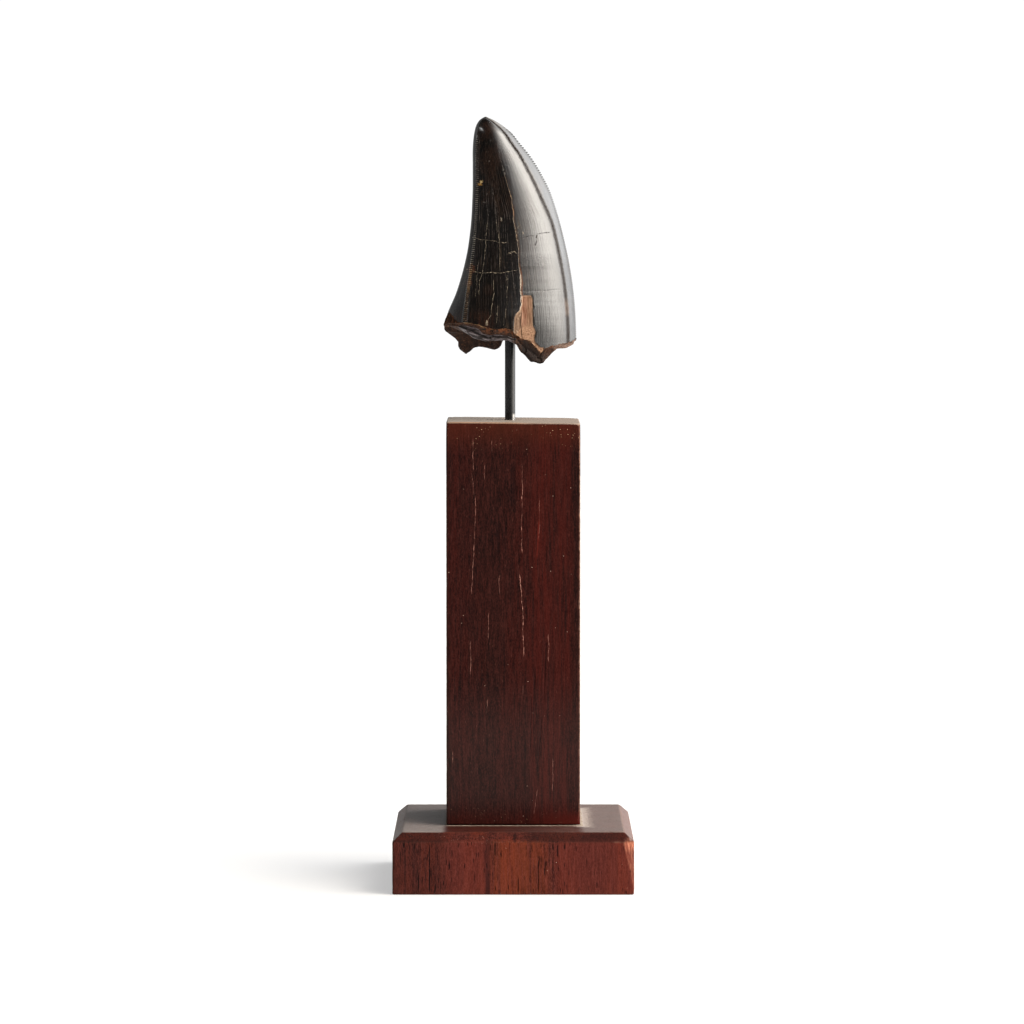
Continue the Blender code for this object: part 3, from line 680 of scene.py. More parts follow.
FRONT_EDGE = [  # x, height where the enamel ends at the front
    (-20.5, 159.6), (-16.4, 160.1), (-12.8, 160.1), (-10.6, 159.8), (-8.8, 159.0), (-6.6, 158.5),
    (-0.7, 158.4), (0.1, 157.5), (2.1, 155.7), (4.5, 155.1), (6.4, 153.2), (8.2, 151.6), (9.0, 152.7),
    (10.7, 153.5), (13.3, 154.0), (15.6, 154.3), (18.5, 155.3),
]
FRONT_STEP = [  # below it, where the rough dentine meets the smooth grey layer
    (-20.5, 159.3), (-16.4, 159.6), (-13.8, 159.2), (-11.3, 158.9), (-9.6, 158.3), (-9.2, 157.3),
    (-7.1, 156.7), (-3.6, 156.6), (-1.5, 156.4), (1.0, 155.3), (2.7, 153.6), (5.1, 151.9), (7.5, 150.2),
    (9.0, 151.0), (11.0, 152.2), (12.7, 153.3), (15.4, 153.5), (18.5, 155.0),
]
FRONT_LIP = [  # the lowest line
    (-20.5, 159.0), (-16.4, 159.0), (-13.9, 157.5), (-11.3, 155.7), (-8.1, 154.9), (-1.5, 155.1),
    (1.0, 153.8), (2.3, 151.8), (3.7, 150.6), (5.3, 149.1), (7.5, 148.4), (8.6, 148.7), (10.0, 150.1),
    (11.9, 152.0), (12.8, 152.8), (15.5, 152.9), (17.4, 153.8), (18.5, 154.6),
]
BACK_EDGE = [
    (-20.5, 159.6), (-19.0, 158.0), (-16.4, 155.9), (-15.0, 153.7), (-13.3, 152.6), (-11.8, 153.2),
    (-10.6, 154.2), (-8.8, 153.8), (-5.8, 153.1), (-3.6, 154.2), (-2.6, 157.0), (5.0, 157.6),
    (12.0, 156.4), (18.5, 155.3),
]
BACK_LIP = [
    (-20.5, 159.0), (-19.0, 157.2), (-16.4, 154.9), (-15.0, 152.0), (-13.3, 150.6), (-12.0, 151.4),
    (-10.8, 152.8), (-8.8, 152.6), (-5.8, 152.0), (-3.6, 152.9), (-2.6, 156.0), (5.0, 156.6),
    (12.0, 155.6), (18.5, 154.6),
]


def smooth_curve(points):
    """A smooth function through (place, value) points, in cubic pieces."""
    places, values = np.array(sorted(points)).T
    slopes = np.gradient(values, places)

    def at(place):
        i = np.clip(np.searchsorted(places, place) - 1, 0, len(places) - 2)
        span = places[i + 1] - places[i]
        t = (place - places[i]) / span
        rise = t * t * (3 - 2 * t) * (values[i + 1] - values[i])
        return values[i] + rise + t * (1 - t) ** 2 * span * slopes[i] + t * t * (t - 1) * span * slopes[i + 1]

    return at


def crown_curve(points, at_tip):
    """A smooth function of height, square at the tip so that the crown ends round."""
    by_root = [(math.sqrt(TIP_HEIGHT - height), value) for height, value in points]
    curve = smooth_curve(by_root + [(0.0, at_tip)])
    return lambda height: curve(np.sqrt(np.maximum(TIP_HEIGHT - height, 0)))


left_side, right_side = crown_curve(CONCAVE_OUTLINE, TIP[0]), crown_curve(CONVEX_OUTLINE, TIP[0])
distal_keel_x, groove_inset = crown_curve(DISTAL_KEEL, TIP[0]), crown_curve(GROOVE_INSET, 0.0)
main_crack_x, shade_line_x = smooth_curve(MAIN_CRACK), smooth_curve(SHADE_LINE)


def ramp(value, none, full):
    t = np.clip((value - none) / (full - none), 0, 1)
    return t * t * (3 - 2 * t)


def within(x, z, outline):
    """Distance in from an outline, below 0 outside it."""
    corners = np.array(outline)
    nearest = np.full(x.shape, 1e9)
    inside = np.zeros(x.shape, bool)
    for (ax, az), (bx, bz) in zip(corners, np.roll(corners, -1, 0)):
        run, climb = bx - ax, bz - az
        along = np.clip(((x - ax) * run + (z - az) * climb) / (run ** 2 + climb ** 2), 0, 1)
        nearest = np.minimum(nearest, np.hypot(x - ax - along * run, z - az - along * climb))
        crosses = (az > z) != (bz > z)
        inside ^= crosses & (x < ax + (z - az) * run / (climb if climb else 1e-9))
    return np.where(inside, nearest, -nearest)


def crown(around, height):
    """Points of the crown, with its keels, denticles, groove, folds and missing enamel, and their marks."""
    share = (TIP_HEIGHT - height) / (TIP_HEIGHT - BREAK_HEIGHT)
    left, right = left_side(height), right_side(height)
    size = np.tanh((right - left) / 2 / RELIEF_FADE)
    right = right - KEEL_HEIGHT * size
    a = np.maximum((right - left) / 2, 1e-3)
    b = a * (THICKNESS_AT_TIP + share * (THICKNESS_AT_BREAK - THICKNESS_AT_TIP))
    middle_x, middle_y = (left + right) / 2, COLUMN_MIDDLE[1] + CROWN_LEAN_BACK * (1 - share) ** 2
    mesial = MESIAL_KEEL_TURN * np.clip(share, 0, 1)
    distal = -np.arccos(np.clip((distal_keel_x(height) - middle_x) / a, -1, 1))
    groove = -np.arccos(np.clip((right + KEEL_HEIGHT * size - groove_inset(height) - middle_x) / a, -1, 1))
    front = around <= GROOVE
    flank = (around > GROOVE) & (around <= 1)
    angle = np.where(front, distal + (groove - distal) * around / GROOVE, 0.0)
    angle = np.where(flank, groove + (mesial - groove) * (around - GROOVE) / (1 - GROOVE), angle)
    angle = np.where(around > 1, mesial + (distal + math.tau - mesial) * (around - 1), angle)
    way_x, way_y = np.cos(angle) / a, np.sin(angle) / b
    length = np.hypot(way_x, way_y)
    way_x, way_y = way_x / length, way_y / length
    per_radian = np.hypot(a * np.sin(angle), b * np.cos(angle))
    to_mesial = abs(angle - mesial)
    to_distal = np.minimum(abs(angle - distal), abs(angle - distal - math.tau))
    to_keels, to_groove = np.minimum(to_distal, to_mesial) * per_radian, abs(angle - groove) * per_radian
    by_mesial = to_mesial < 0.8
    depth = np.where(by_mesial, MESIAL_SLOT_DEPTH * (0.45 + 0.55 * ramp(height, 186, 198)), SLOT_DEPTH)
    slot = (height / np.where(by_mesial, MESIAL_PITCH, PITCH)) % 1 - 0.5
    slot = np.exp(-((slot / SLOT_SHARE) ** 2)) * np.exp(-((to_keels / SLOT_REACH) ** 2))
    slot = slot * ramp(height, SERRATED_UP_TO + 1, SERRATED_UP_TO - 2)
    relief = KEEL_HEIGHT * np.exp(-to_keels / KEEL_WIDTH) - depth * slot
    relief = relief - GROOVE_DEPTH * np.exp(-((to_groove / GROOVE_WIDTH) ** 2))
    x, y = middle_x + a * np.cos(angle), middle_y + b * np.sin(angle)
    facing = ramp(y, -0.5, -3.0)
    lost = np.where(y < 0, within(x, height, LOST_ENAMEL), NOWHERE)
    flaked = np.where(y < 0, within(x, height, FLAKED_ENAMEL), NOWHERE)
    corner = within(x, height, BARE_CORNER)
    beside = x - main_crack_x(height)
    fold = -0.34 * (1 - np.exp(np.minimum(beside, 0) / 4.0)) * ramp(around, 0.02, 0.16)
    fold = fold - 0.12 * (1 - np.exp(-np.maximum(beside, 0) / 3.0)) * ramp(around, 0.78, 0.6)
    fold = fold * facing * ramp(height, 207, 196)
    relief = relief + fold - 0.45 * ramp(lost, -0.06, 0.12)
    relief = relief - 0.2 * ramp(flaked, -0.06, 0.2) * ramp(lost, 0.05, -0.05)
    smooth_spots = np.stack([x, y, height], 1)
    relief = relief + (0.14 * lumps(smooth_spots, 0.9, 31) - 0.06) * ramp(corner, -0.05, 0.3)
    past_line = x + 0.3 * lumps(smooth_spots, 1.2, 41) - shade_line_x(height)
    by_line = ramp(past_line, 0.3, -0.4) * ramp(height, 188, 196)
    by_line = by_line * np.maximum(ramp(x, -8.4, -7.4), ramp(height, 214, 212))
    on_dark = np.maximum(ramp(x, -14, -12), ramp(height, 176, 184))
    on_dark = ramp(x, -3.5, -6.5) * (0.3 + 0.7 * on_dark) * ramp(height, 217.5, 215.5)
    dusty = ramp(past_line, 0, 1) * ramp(height, 167, 171) * ramp(height, 181, 175)
    on_front = ramp(y, -0.6, -2.2)
    worn = on_front * np.maximum(np.maximum(0.5 * on_dark, 0.65 * by_line), 0.13 * dusty)
    combed = on_front * 0.6 * ramp(past_line, 2.2, 0.1) * ramp(height, 192, 197) * ramp(height, 211, 207)
    points = np.stack([x + size * relief * way_x, y + size * relief * way_y, height], 1)
    return points, {
        "lost": lost, "flaked": flaked, "corner": corner, "keel": to_keels, "slot": slot, "groove": to_groove,
        "worn": worn, "combed": combed,
    }


keel_steps = np.array([0, 0.05, 0.12, 0.2, 0.3, 0.42, 0.56, 0.72, 0.9, 1.1]) / KEEL_TO_KEEL
keel_places = np.concatenate([keel_steps, 1 - keel_steps, 1 + keel_steps[1:], 2 - keel_steps[1:]])
plain_places = np.concatenate([
    np.arange(0.034, 0.33, 0.0095), np.arange(0.33, 0.72, 0.0062), np.arange(0.72, 0.79, 0.0095),
    np.arange(0.79, 0.85, 0.005), np.arange(0.85, 0.968, 0.0085), np.arange(1.034, 1.968, 0.0135),
])
places = np.sort(np.concatenate([keel_places, plain_places]))
by_keel = np.isin(places, keel_places)
LEVELS = round((SERRATED_UP_TO - BREAK_HEIGHT) / PITCH) * 2
KEEL_STEPS_A_LEVEL = 4
tip_levels = TIP_HEIGHT - (TIP_HEIGHT - SERRATED_UP_TO) * (1 - np.linspace(0, 0.985, 24)[1:]) ** 1.6
level_heights = np.concatenate([np.linspace(BREAK_HEIGHT, SERRATED_UP_TO, LEVELS + 1), tip_levels])
arcs = places * KEEL_TO_KEEL
unrolled = np.stack([arcs, places * 0, places * 0], 1)
ragged = lumps(unrolled, 1.6, 11) * 0.3 + lumps(unrolled, 0.7, 12) * 0.24
ragged *= np.minimum(1, np.minimum(places, 2 - places) * 20)


def broken(spots, front_outline, back_outline):
    """Height of the broken edge, or of a line below it, at points round the crown."""
    front = np.interp(spots[:, 0], *np.array(front_outline).T)
    back = np.interp(spots[:, 0], *np.array(back_outline).T)
    return np.where(spots[:, 1] < COLUMN_MIDDLE[1], front, back)


edge_heights = broken(crown(places, np.full(len(places), BREAK_HEIGHT))[0], FRONT_EDGE, BACK_EDGE) + ragged
EDGE_REACH = 14.0
points, marks, columns = [], [], []
total = 0
for place, arc, dense, edge in zip(places, arcs, by_keel, edge_heights):
    ranks = np.arange(0, LEVELS, 1 / KEEL_STEPS_A_LEVEL) if dense else np.arange(LEVELS)
    ranks = np.concatenate([ranks, np.arange(LEVELS, len(level_heights))])
    heights = np.interp(ranks, np.arange(len(level_heights)), level_heights)
    follows_edge = np.maximum(0, 1 - (heights - BREAK_HEIGHT) / EDGE_REACH) ** 1.5
    heights = heights + (edge - BREAK_HEIGHT) * follows_edge
    spots, bare = crown(np.full(len(heights), place), heights)
    points.append(spots)
    marks.append(bare | {"arc": np.full(len(heights), arc), "rise": heights, "layer": np.zeros(len(heights))})
    columns.append((ranks, total + np.arange(len(heights))))
    total += len(heights)
faces = []
for (ranks, one), (other_ranks, other) in zip(columns, columns[1:] + columns[:1]):
    if len(one) == len(other):
        faces += np.stack([one[:-1], other[:-1], other[1:], one[1:]], 1).tolist()
        continue
    i = j = 0
    while i < len(one) - 1 or j < len(other) - 1:
        step = j == len(other) - 1 or (i < len(one) - 1 and ranks[i + 1] <= other_ranks[j + 1])
        faces.append((int(one[i]), int(other[j]), int(one[i + 1] if step else other[j + 1])))
        i, j = (i + 1, j) if step else (i, j + 1)
tip_vertex = total
points.append(TIP[None])
at_tip = {"arc": 0.0, "rise": TIP_HEIGHT, "layer": 0.0, "worn": 0.6, "combed": 0.0}
marks.append({key: np.array([at_tip.get(key, NOWHERE)]) for key in marks[0]})
total += 1
for (_, one), (_, other) in zip(columns, columns[1:] + columns[:1]):
    faces.append((int(one[-1]), int(other[-1]), tip_vertex))
enamel_faces = len(faces)

# The break: from the enamel's edge over a rough band of dentine to a smooth grey layer and its lip, then up
# into the pulp cavity and the hole for the rod.
BREAK_PROFILE = [  # inset, way down to the step, way from the step to the lip
    (0.0, 0.0, 0.0), (0.28, 0.03, 0.0), (0.42, 0.15, 0.0), (0.62, 0.42, 0.0), (0.85, 0.75, 0.0),
    (1.15, 1.0, 0.0), (1.1, 1.0, 0.12), (0.92, 1.0, 0.32), (0.9, 1.0, 0.55), (1.05, 1.0, 0.78),
    (1.35, 1.0, 0.93), (1.8, 1.0, 1.0), (2.4, 1.0, 0.95), (3.0, 1.0, 0.8), (3.6, 1.0, 0.55),
]
CAVITY = [  # share of the way from the rod's hole to the lip, height
    (0.8, 157.4), (0.62, 158.6), (0.45, 159.6), (0.30, 160.2), (0.12, 160.5), (0.0, 160.6), (0.0, 161.6),
    (0.0, 164.0), (0.0, 165.7),
]
HOLE_IN_TOOTH = 1.8
edge_ring = np.array([int(column[0]) for _, column in columns])
edge_points = np.concatenate(points)[edge_ring]
back = edge_points[:, 1] >= COLUMN_MIDDLE[1]
out = edge_points[:, :2] - np.array(ROD_MIDDLE)
reach = np.linalg.norm(out, axis=1)
way = out / reach[:, None]
full_inset = 1 - 0.7 * ramp(edge_points[:, 0], -16, -19) - 0.75 * ramp(edge_points[:, 0], 14.5, 17.5)
profile_steps = np.arange(len(BREAK_PROFILE))
steps = np.linspace(0, len(BREAK_PROFILE) - 1, 2 * len(BREAK_PROFILE) - 1)[1:]
generator = np.random.default_rng(7)
facet_middles = generator.uniform((-21, -13, 147), (19, 14, 162), (90, 3))
facet_slopes = generator.normal(0, 0.32, (90, 3))


def chipped(spots):
    """Flat facets a few millimetres across, each tilted its own way, with crumbly roughness over them."""
    apart = np.linalg.norm(spots[:, None] - facet_middles[None], axis=2)
    nearest = apart.argmin(1)
    facets = ((spots - facet_middles[nearest]) * facet_slopes[nearest]).sum(1)
    return np.clip(facets, -0.6, 0.6) + 0.2 * lumps(spots, 1.3, 21) + 0.17 * lumps(spots, 0.6, 22)


rings, layers = [], []
for step in steps:
    inset, down, lower = (np.interp(step, profile_steps, column) for column in np.array(BREAK_PROFILE).T)
    level = ROD_MIDDLE + way * (reach - inset * full_inset)[:, None]
    ring = np.concatenate([level, edge_points[:, 2:]], 1)
    lip_heights = broken(ring, FRONT_LIP, BACK_LIP)
    step_heights = np.where(
        back, edge_points[:, 2] * 0.45 + lip_heights * 0.55, broken(ring, FRONT_STEP, BACK_LIP)
    )
    ring[:, 2] += down * (step_heights - edge_points[:, 2]) + lower * (lip_heights - step_heights)
    rough = chipped(ring) * min(1.0, step / 3) * (1 - 0.6 * ramp(ring[:, 0], -16, -19))
    smooth_layer = np.where((~back) & (edge_points[:, 0] < 0.5), 0.35, 1.0) if 5 <= step <= 11 else 1.0
    ring[:, :2] += way * (rough * smooth_layer * 0.8)[:, None]
    ring[:, 2] += rough * smooth_layer * (0.5 if step < 8 else 0.25)
    rings.append(ring)
    layers.append(np.full(len(ring), step))
inside = BREAK_PROFILE[-1][0]
for share, height in CAVITY:
    radius = HOLE_IN_TOOTH + share * (reach - inside - HOLE_IN_TOOTH)
    ring = np.concatenate([ROD_MIDDLE + way * radius[:, None], np.full((len(reach), 1), height)], 1)
    if share:
        ring[:, 2] += chipped(ring) * 0.8
    rings.append(ring)
    layers.append(np.full(len(ring), IN_THE_CAVITY))
for ring, layer in zip(rings, layers):
    points.append(ring)
    blank = {key: np.full(len(ring), NOWHERE) for key in marks[0]}
    marks.append(blank | {"arc": arcs, "rise": ring[:, 2], "layer": layer})
ring_ids = [edge_ring] + [total + k * len(places) + np.arange(len(places)) for k in range(len(rings))]
for outer, inner in zip(ring_ids, ring_ids[1:]):
    faces += np.stack([inner, np.roll(inner, -1), np.roll(outer, -1), outer], 1).tolist()
total += len(rings) * len(places)
points.append(np.array([[*ROD_MIDDLE, CAVITY[-1][1]]]))
marks.append({key: np.array([IN_THE_CAVITY if key == "layer" else NOWHERE]) for key in marks[0]})
last = ring_ids[-1]
faces += [(total, int(b), int(a)) for a, b in zip(last, np.roll(last, -1))]


def course(along, across, route, width, end_fade):
    """Mask of a line that runs along one direction through (along, across) points."""
    places, offsets = np.array(sorted(route)).T
    start, end, low, high = places[0], places[-1], offsets.min() - 0.1, offsets.max() + 0.1
    curve = [((p - start) / (end - start), (o - low) / (high - low)) for p, o in zip(places, offsets)]
    share = (along - start) / (end - start)
    line = along.finish.node("ShaderNodeFloatCurve", {"curve": curve}, {"Value": share}) * (high - low) + low
    near = abs(across - line).fade(width, width * 0.3)
    return near * along.fade(start - 0.3, start + 0.4) * along.fade(end + 0.3, end - end_fade)


def vein(finish, route, width, wander):
    """Mask of a crack that runs up the crown along (height, x) points."""
    return course(finish.z, finish.x + wander, route, width, 0.6)


def seam(finish, route, width, wander):
    """Mask of a crack that runs across the crown along (x, height) points."""
    return course(finish.x, finish.z + wander, route, width, 0.4)


def spot(finish, x, z, wide, high, wander, torn=0.0):
    """Mask of a small patch on the front."""
    return ((abs(finish.x + wander - x) / wide) ** 2 + (abs(finish.z - z) / high) ** 2 + torn).fade(1.3, 0.6)


def down_the_crown(finish, colour, *changes):
    """A colour that turns into another between each pair of heights."""
    for start, full, later in changes:
        colour = finish.blend(finish.z.fade(start, full), colour, tint(*later))
    return colour


def dentine(finish):
    """Colour and height of broken dentine: brown and crumbly, with paler grains."""
    lumpy = finish.clouds((1.1, 1.1, 0.9), 5, 0.65)
    grain = finish.clouds(0.45, 3, 0.6)
    colour = finish.blend(lumpy.fade(0.36, 0.62), tint(15, 9, 6), tint(56, 35, 24))
    colour = finish.blend(grain.fade(0.52, 0.72) * 0.7, colour, tint(112, 76, 52))
    colour = finish.blend(grain.fade(0.46, 0.3) * 0.6, colour, tint(10, 6, 5))
    return colour, lumpy * 0.5 + grain * 0.2


PALE_CRACKS = [  # width, strength, (height, x) points
    (0.13, 0.6, [
        (199.1, -7.6), (193.7, -7.5), (190.8, -7.2), (188.3, -7.3), (186.0, -7.6), (183.4, -7.8),
        (180.9, -7.9), (178.6, -8.2), (175.8, -8.5), (174.1, -8.9), (172.1, -9.5), (168.1, -9.8),
    ]),
    (0.11, 0.4, [(199.9, -5.9), (196.2, -5.8), (192.2, -6.0)]),
    (0.13, 0.6, [
        (195.1, -5.1), (188.8, -4.8), (186.0, -4.3), (183.7, -4.0), (180.3, -3.9), (177.5, -3.8),
        (174.6, -3.8),
    ]),
    (0.12, 0.6, [(173.8, -1.8), (170.4, -1.7), (167.8, -1.9), (165.9, -1.8), (163.3, -2.1), (161.6, -2.2)]),
    (0.16, 0.7, [
        (172.4, -5.6), (168.7, -5.5), (166.1, -5.8), (164.4, -6.2), (162.4, -6.3), (160.7, -7.2),
        (159.9, -7.7),
    ]),
    (0.1, 0.45, [(165.3, -4.5), (162.5, -4.5), (159.9, -4.8)]),
    (0.1, 0.4, [(161.6, -2.9), (159.3, -2.8)]),
    (0.1, 0.35, [(178.6, -9.2), (177.5, -10.0), (173.8, -10.3), (166.7, -10.9)]),
    (0.12, 0.5, [(192.2, 0.1), (190.0, 0.2), (187.1, 0.4), (184.3, 0.8)]),
    (0.13, 0.6, [(188.4, 1.25), (187.0, 1.3), (185.4, 1.35)]),
    (0.12, 0.5, [(199.2, -6.0), (196.4, -5.7), (194.0, -5.9)]),
]
PALE_SEAMS = [  # width, strength, (x, height) points
    (0.12, 0.4, [(-11.8, 184.3), (-9.2, 183.7), (-8.0, 183.6), (-5.2, 183.3), (-3.8, 182.9)]),
    (0.2, 0.8, [(-3.3, 182.9), (-1.8, 182.9)]),
    (0.17, 0.65, [
        (-13.5, 175.4), (-12.3, 175.2), (-10.9, 174.5), (-8.9, 174.3), (-6.0, 174.4), (-3.8, 174.2),
        (-2.1, 174.6), (1.1, 175.1), (1.6, 175.2),
    ]),
    (0.2, 0.8, [(-1.5, 179.7), (-1.2, 180.0), (-0.4, 180.3), (0.5, 180.2), (0.9, 179.8)]),
]
DARK_SEAMS = [
    (0.2, 1.0, [
        (2.5, 184.0), (3.3, 184.3), (4.5, 184.7), (5.9, 184.8), (6.9, 185.3), (8.2, 185.5), (9.3, 185.7),
        (10.5, 185.8),
    ]),
    (0.16, 0.35, [(3.1, 169.0), (6.5, 169.1), (9.9, 169.3), (13.3, 169.7)]),
]
DARK_CRACKS = [(0.22, 1.0, [(185.3, 6.75), (184.4, 6.6), (183.5, 6.55), (182.7, 6.45), (181.9, 6.3)])]
# Pale spots on the front; two of them, at (-3.4, 189.4) and (-9.2, 215.2), are painted glints.
PALE_SPOTS_AND_GLINTS = [  # x, height, half width, half height, strength
    (-3.4, 189.4, 0.2, 0.55, 0.9), (-7.5, 160.2, 0.35, 0.7, 0.8), (-4.5, 162.6, 0.2, 0.4, 0.6),
    (-9.2, 215.2, 0.14, 0.6, 0.3), (2.75, 185.6, 0.16, 0.55, 0.6), (-8.3, 194.3, 0.3, 0.22, 0.45),
    (-2.9, 203.6, 0.15, 0.4, 0.5), (-0.9, 179.8, 0.24, 0.2, 0.7), (-2.35, 202.6, 0.14, 0.4, 0.5),
    (-6.9, 206.0, 0.14, 0.2, 0.5), (-10.2, 208.6, 0.12, 0.15, 0.4),
]

# Glossy enamel. First its cracks: pale and dark ones listed one by one, the golden main crack, and fine nets
# and threads over the rest. Dull collects what has lost its gloss.
finish = Finish("fossil_enamel_black", IOR=1.75, Coat_Roughness=0.1, Coat_IOR=1.5)
x, y, z, clouds, mark, blend, lay = finish.tools()
arc, rise = mark("arc"), mark("rise")
around_crown = finish.node("ShaderNodeCombineXYZ", {}, {0: arc, 1: 0.0, 2: rise})
facing = y.fade(-0.6, -2.2)
wander = (clouds((1.4, 1.4, 2.2), 2) - 0.5) * 0.6 + (clouds((0.35, 0.35, 0.55), 3, 0.7) - 0.5) * 0.4
across = (clouds(1.0, 3, 0.6, finish.place + (17, 5, 9)) - 0.5) * 0.7
thick = clouds((0.5, 0.5, 0.9), 3, 0.6).fade(0.4, 0.62)
pale = strongest(
    [vein(finish, route, 0.54 * width, wander) * strength for width, strength, route in PALE_CRACKS]
    + [seam(finish, route, 0.72 * width, across) * strength for width, strength, route in PALE_SEAMS]
)
dark = strongest(
    [vein(finish, route, width, wander) * strength for width, strength, route in DARK_CRACKS]
    + [seam(finish, route, width, across) * strength for width, strength, route in DARK_SEAMS]
)
jagged = wander + (clouds((0.25, 0.25, 0.4), 2, 0.6) - 0.5) * 0.35
golden = vein(finish, MAIN_CRACK, 0.065, jagged) * (0.2 + 0.8 * z.fade(206, 200))
golden = golden | vein(finish, MAIN_CRACK[14:21], 0.18, jagged + across * 0.8)
golden = golden | vein(finish, MAIN_CRACK[6:9], 0.11, jagged + across * 0.4)
stain = vein(finish, [(h, x + 0.3) for h, x in MAIN_CRACK[6:21]], 0.3, wander)
speckle = clouds((0.24, 0.24, 0.36), 2, 0.5)
flecked = speckle.fade(0.42, 0.58)
pale = pale * (0.16 + 1.1 * thick) * (0.45 + 0.65 * flecked)
# Pale spots and painted glints laid over the cracks.
for *place, strength in PALE_SPOTS_AND_GLINTS:
    pale_spot = spot(finish, *place, across * 1.6, (flecked - 0.5) * 1.4)
    pale = pale | pale_spot * strength * (0.35 + 0.65 * flecked)
pale = pale * facing
dark = dark * facing * (0.15 + 0.85 * clouds(0.4, 2, 0.5).fade(0.42, 0.56))
golden = golden * facing * (0.35 + 0.65 * thick) * (0.6 + 0.4 * flecked)
on_right = arc.fade(17, 20)
left_face = facing * arc.fade(19, 16) * (0.35 + 0.65 * z.fade(207, 198)) * z.fade(215, 211)
swaying = finish.node("ShaderNodeCombineXYZ", {}, {0: arc + wander * 0.7, 1: 0.0, 2: rise})
hairlines = abs(clouds((1.3, 1.0, 80), 1, 0.5, swaying) - 0.5).fade(0.028, 0.008)
finer = abs(clouds((0.7, 1.0, 60), 1, 0.5, swaying + (40, 0, 11)) - 0.5).fade(0.035, 0.01)
hairlines = hairlines * clouds((1.5, 1.5, 5), 3).fade(0.42, 0.62)
finer = finer * clouds((1.1, 1.1, 3), 3, 0.5, finish.place + (9, 9, 9)).fade(0.5, 0.66) * 0.5
spread = (arc + wander * 0.5 + (clouds((4, 1, 22), 2, 0.5, around_crown) - 0.5) * 3.0) / 0.85
threads = abs(spread.work("FRACT", spread) - 0.5).fade(0.15, 0.02)
threads = threads * clouds((0.9, 1.0, 9), 3, 0.6, around_crown).fade(0.4, 0.62)
threads = threads * (0.3 + 0.7 * clouds((0.6, 0.6, 1.5), 3, 0.6).fade(0.4, 0.6)) * left_face
threads = threads * (0.25 + 0.75 * z.fade(166, 174))
net = (hairlines | finer) * ((1 - facing) * 0.45 | left_face * 0.22) * z.fade(210, 203) * arc.fade(80, 74)
dull = golden | pale | net * 0.8 | dark * 0.8 | stain * facing * 0.4
cut = dark * 0.06 + golden * 0.08

# The enamel's own wrinkles and its near-black colour, browner at the tip and the left foot.
wrinkles = clouds((0.42, 1.0, 7.5), 3, 0.6, around_crown)
fine_wrinkles = clouds((0.3, 1.0, 5.0), 3, 0.6, around_crown)
streaked = clouds((0.62, 1.0, 24), 4, 0.65, around_crown)
pitted = finish.cells((0.7, 1.0, 1.3), around_crown).fade(0.2, 0.06)
pitted = pitted * clouds((3, 3, 5), 2).fade(0.5, 0.66)
rings_of_growth = clouds((60, 60, 1.6), 3, 0.6)
browner = clouds((3.5, 3.5, 7), 4, 0.62).fade(0.42, 0.64)
near_tip = z.fade(188, 198)
near_foot = z.fade(165, 161) * x.fade(-4, -8)
brown_patch = spot(finish, -7.0, 169.5, 1.4, 1.6, across * 3)
browner = browner * (0.2 + 0.8 * (near_tip | near_foot)) | brown_patch * 0.7
finish.colour = blend(browner, tint(7, 5, 4), tint(28, 16, 10))
bits = clouds((0.6, 0.6, 2.2), 3, 0.7, around_crown).fade(0.56, 0.68) * near_tip * (1 - on_right)
lay(bits * 0.5, tint(74, 54, 40))
lay(near_foot * wrinkles.fade(0.48, 0.6) * 0.6, tint(52, 28, 18))
lay(fine_wrinkles.fade(0.54, 0.74) * (0.3 + 0.4 * on_right), tint(44, 35, 31))
lay(wrinkles.fade(0.5, 0.3) * 0.7, tint(6, 4, 3))
lay(threads * 0.8, tint(92, 84, 78))
# Pale specks on the dark left face, partly painted glints.
specks = speckle.fade(0.68, 0.76) * facing * (1 - on_right) * (0.3 + 0.7 * thick)
lay(specks * 0.6, tint(118, 108, 96))
lay(net, tint(84, 68, 54))
lay(pale, down_the_crown(finish, tint(128, 122, 116), (192, 187, (188, 172, 148))))
lay(dark, tint(24, 18, 15))
upright = clouds((0.5, 1.0, 5), 4, 0.65, around_crown)
warm_streaks = facing * on_right * upright.fade(0.48, 0.68) * x.fade(13, 5)
warm_streaks = warm_streaks * z.fade(167, 171) * z.fade(200, 188) * 0.22
lay(warm_streaks, tint(110, 90, 70))
combed = clouds((1.2, 1.0, 6), 3, 0.65, around_crown).fade(0.42, 0.58) * mark("combed")
dull = dull | warm_streaks | mark("worn") | combed

# Both keels and the groove: pale worn ribs with painted shade in the notches on the left, dark knobs on the
# right.
keel = mark("keel")
on_left = abs(arc - KEEL_TO_KEEL).fade(22, 32)
serrated = keel.fade(0.95, 0.6) * z.fade(SERRATED_UP_TO + 1, SERRATED_UP_TO - 3)
rib = serrated * on_left * mark("slot").fade(0.3, 0.08)
notch_shade = serrated * on_left * mark("slot").fade(0.16, 0.4)
turn = z / MESIAL_PITCH
knob = (1 - on_left) * keel.fade(1.6, 0.9) * abs(turn.work("FRACT", turn) - 0.5).fade(0.2, 0.4)
knob = knob * z.fade(216.5, 215) * (0.3 + 0.7 * z.fade(193, 200))
rib_colour = down_the_crown(
    finish, tint(82, 72, 68),
    (203, 194, (112, 106, 100)), (178, 175, (158, 124, 90)), (171, 167, (90, 72, 56)),
)
rib_colour = blend(clouds(0.5, 2).fade(0.58, 0.66) * 0.6, rib_colour, tint(196, 184, 168))
worn_ribs = 0.3 + 0.7 * (clouds(0.7, 3, 0.6).fade(0.38, 0.56) * (0.55 + 0.45 * flecked))
torn = (clouds(0.42, 3, 0.75) - 0.5) * 7
rust_by_keel = spot(finish, -11.9, 175.4, 1.1, 1.3, across, torn * 0.4)
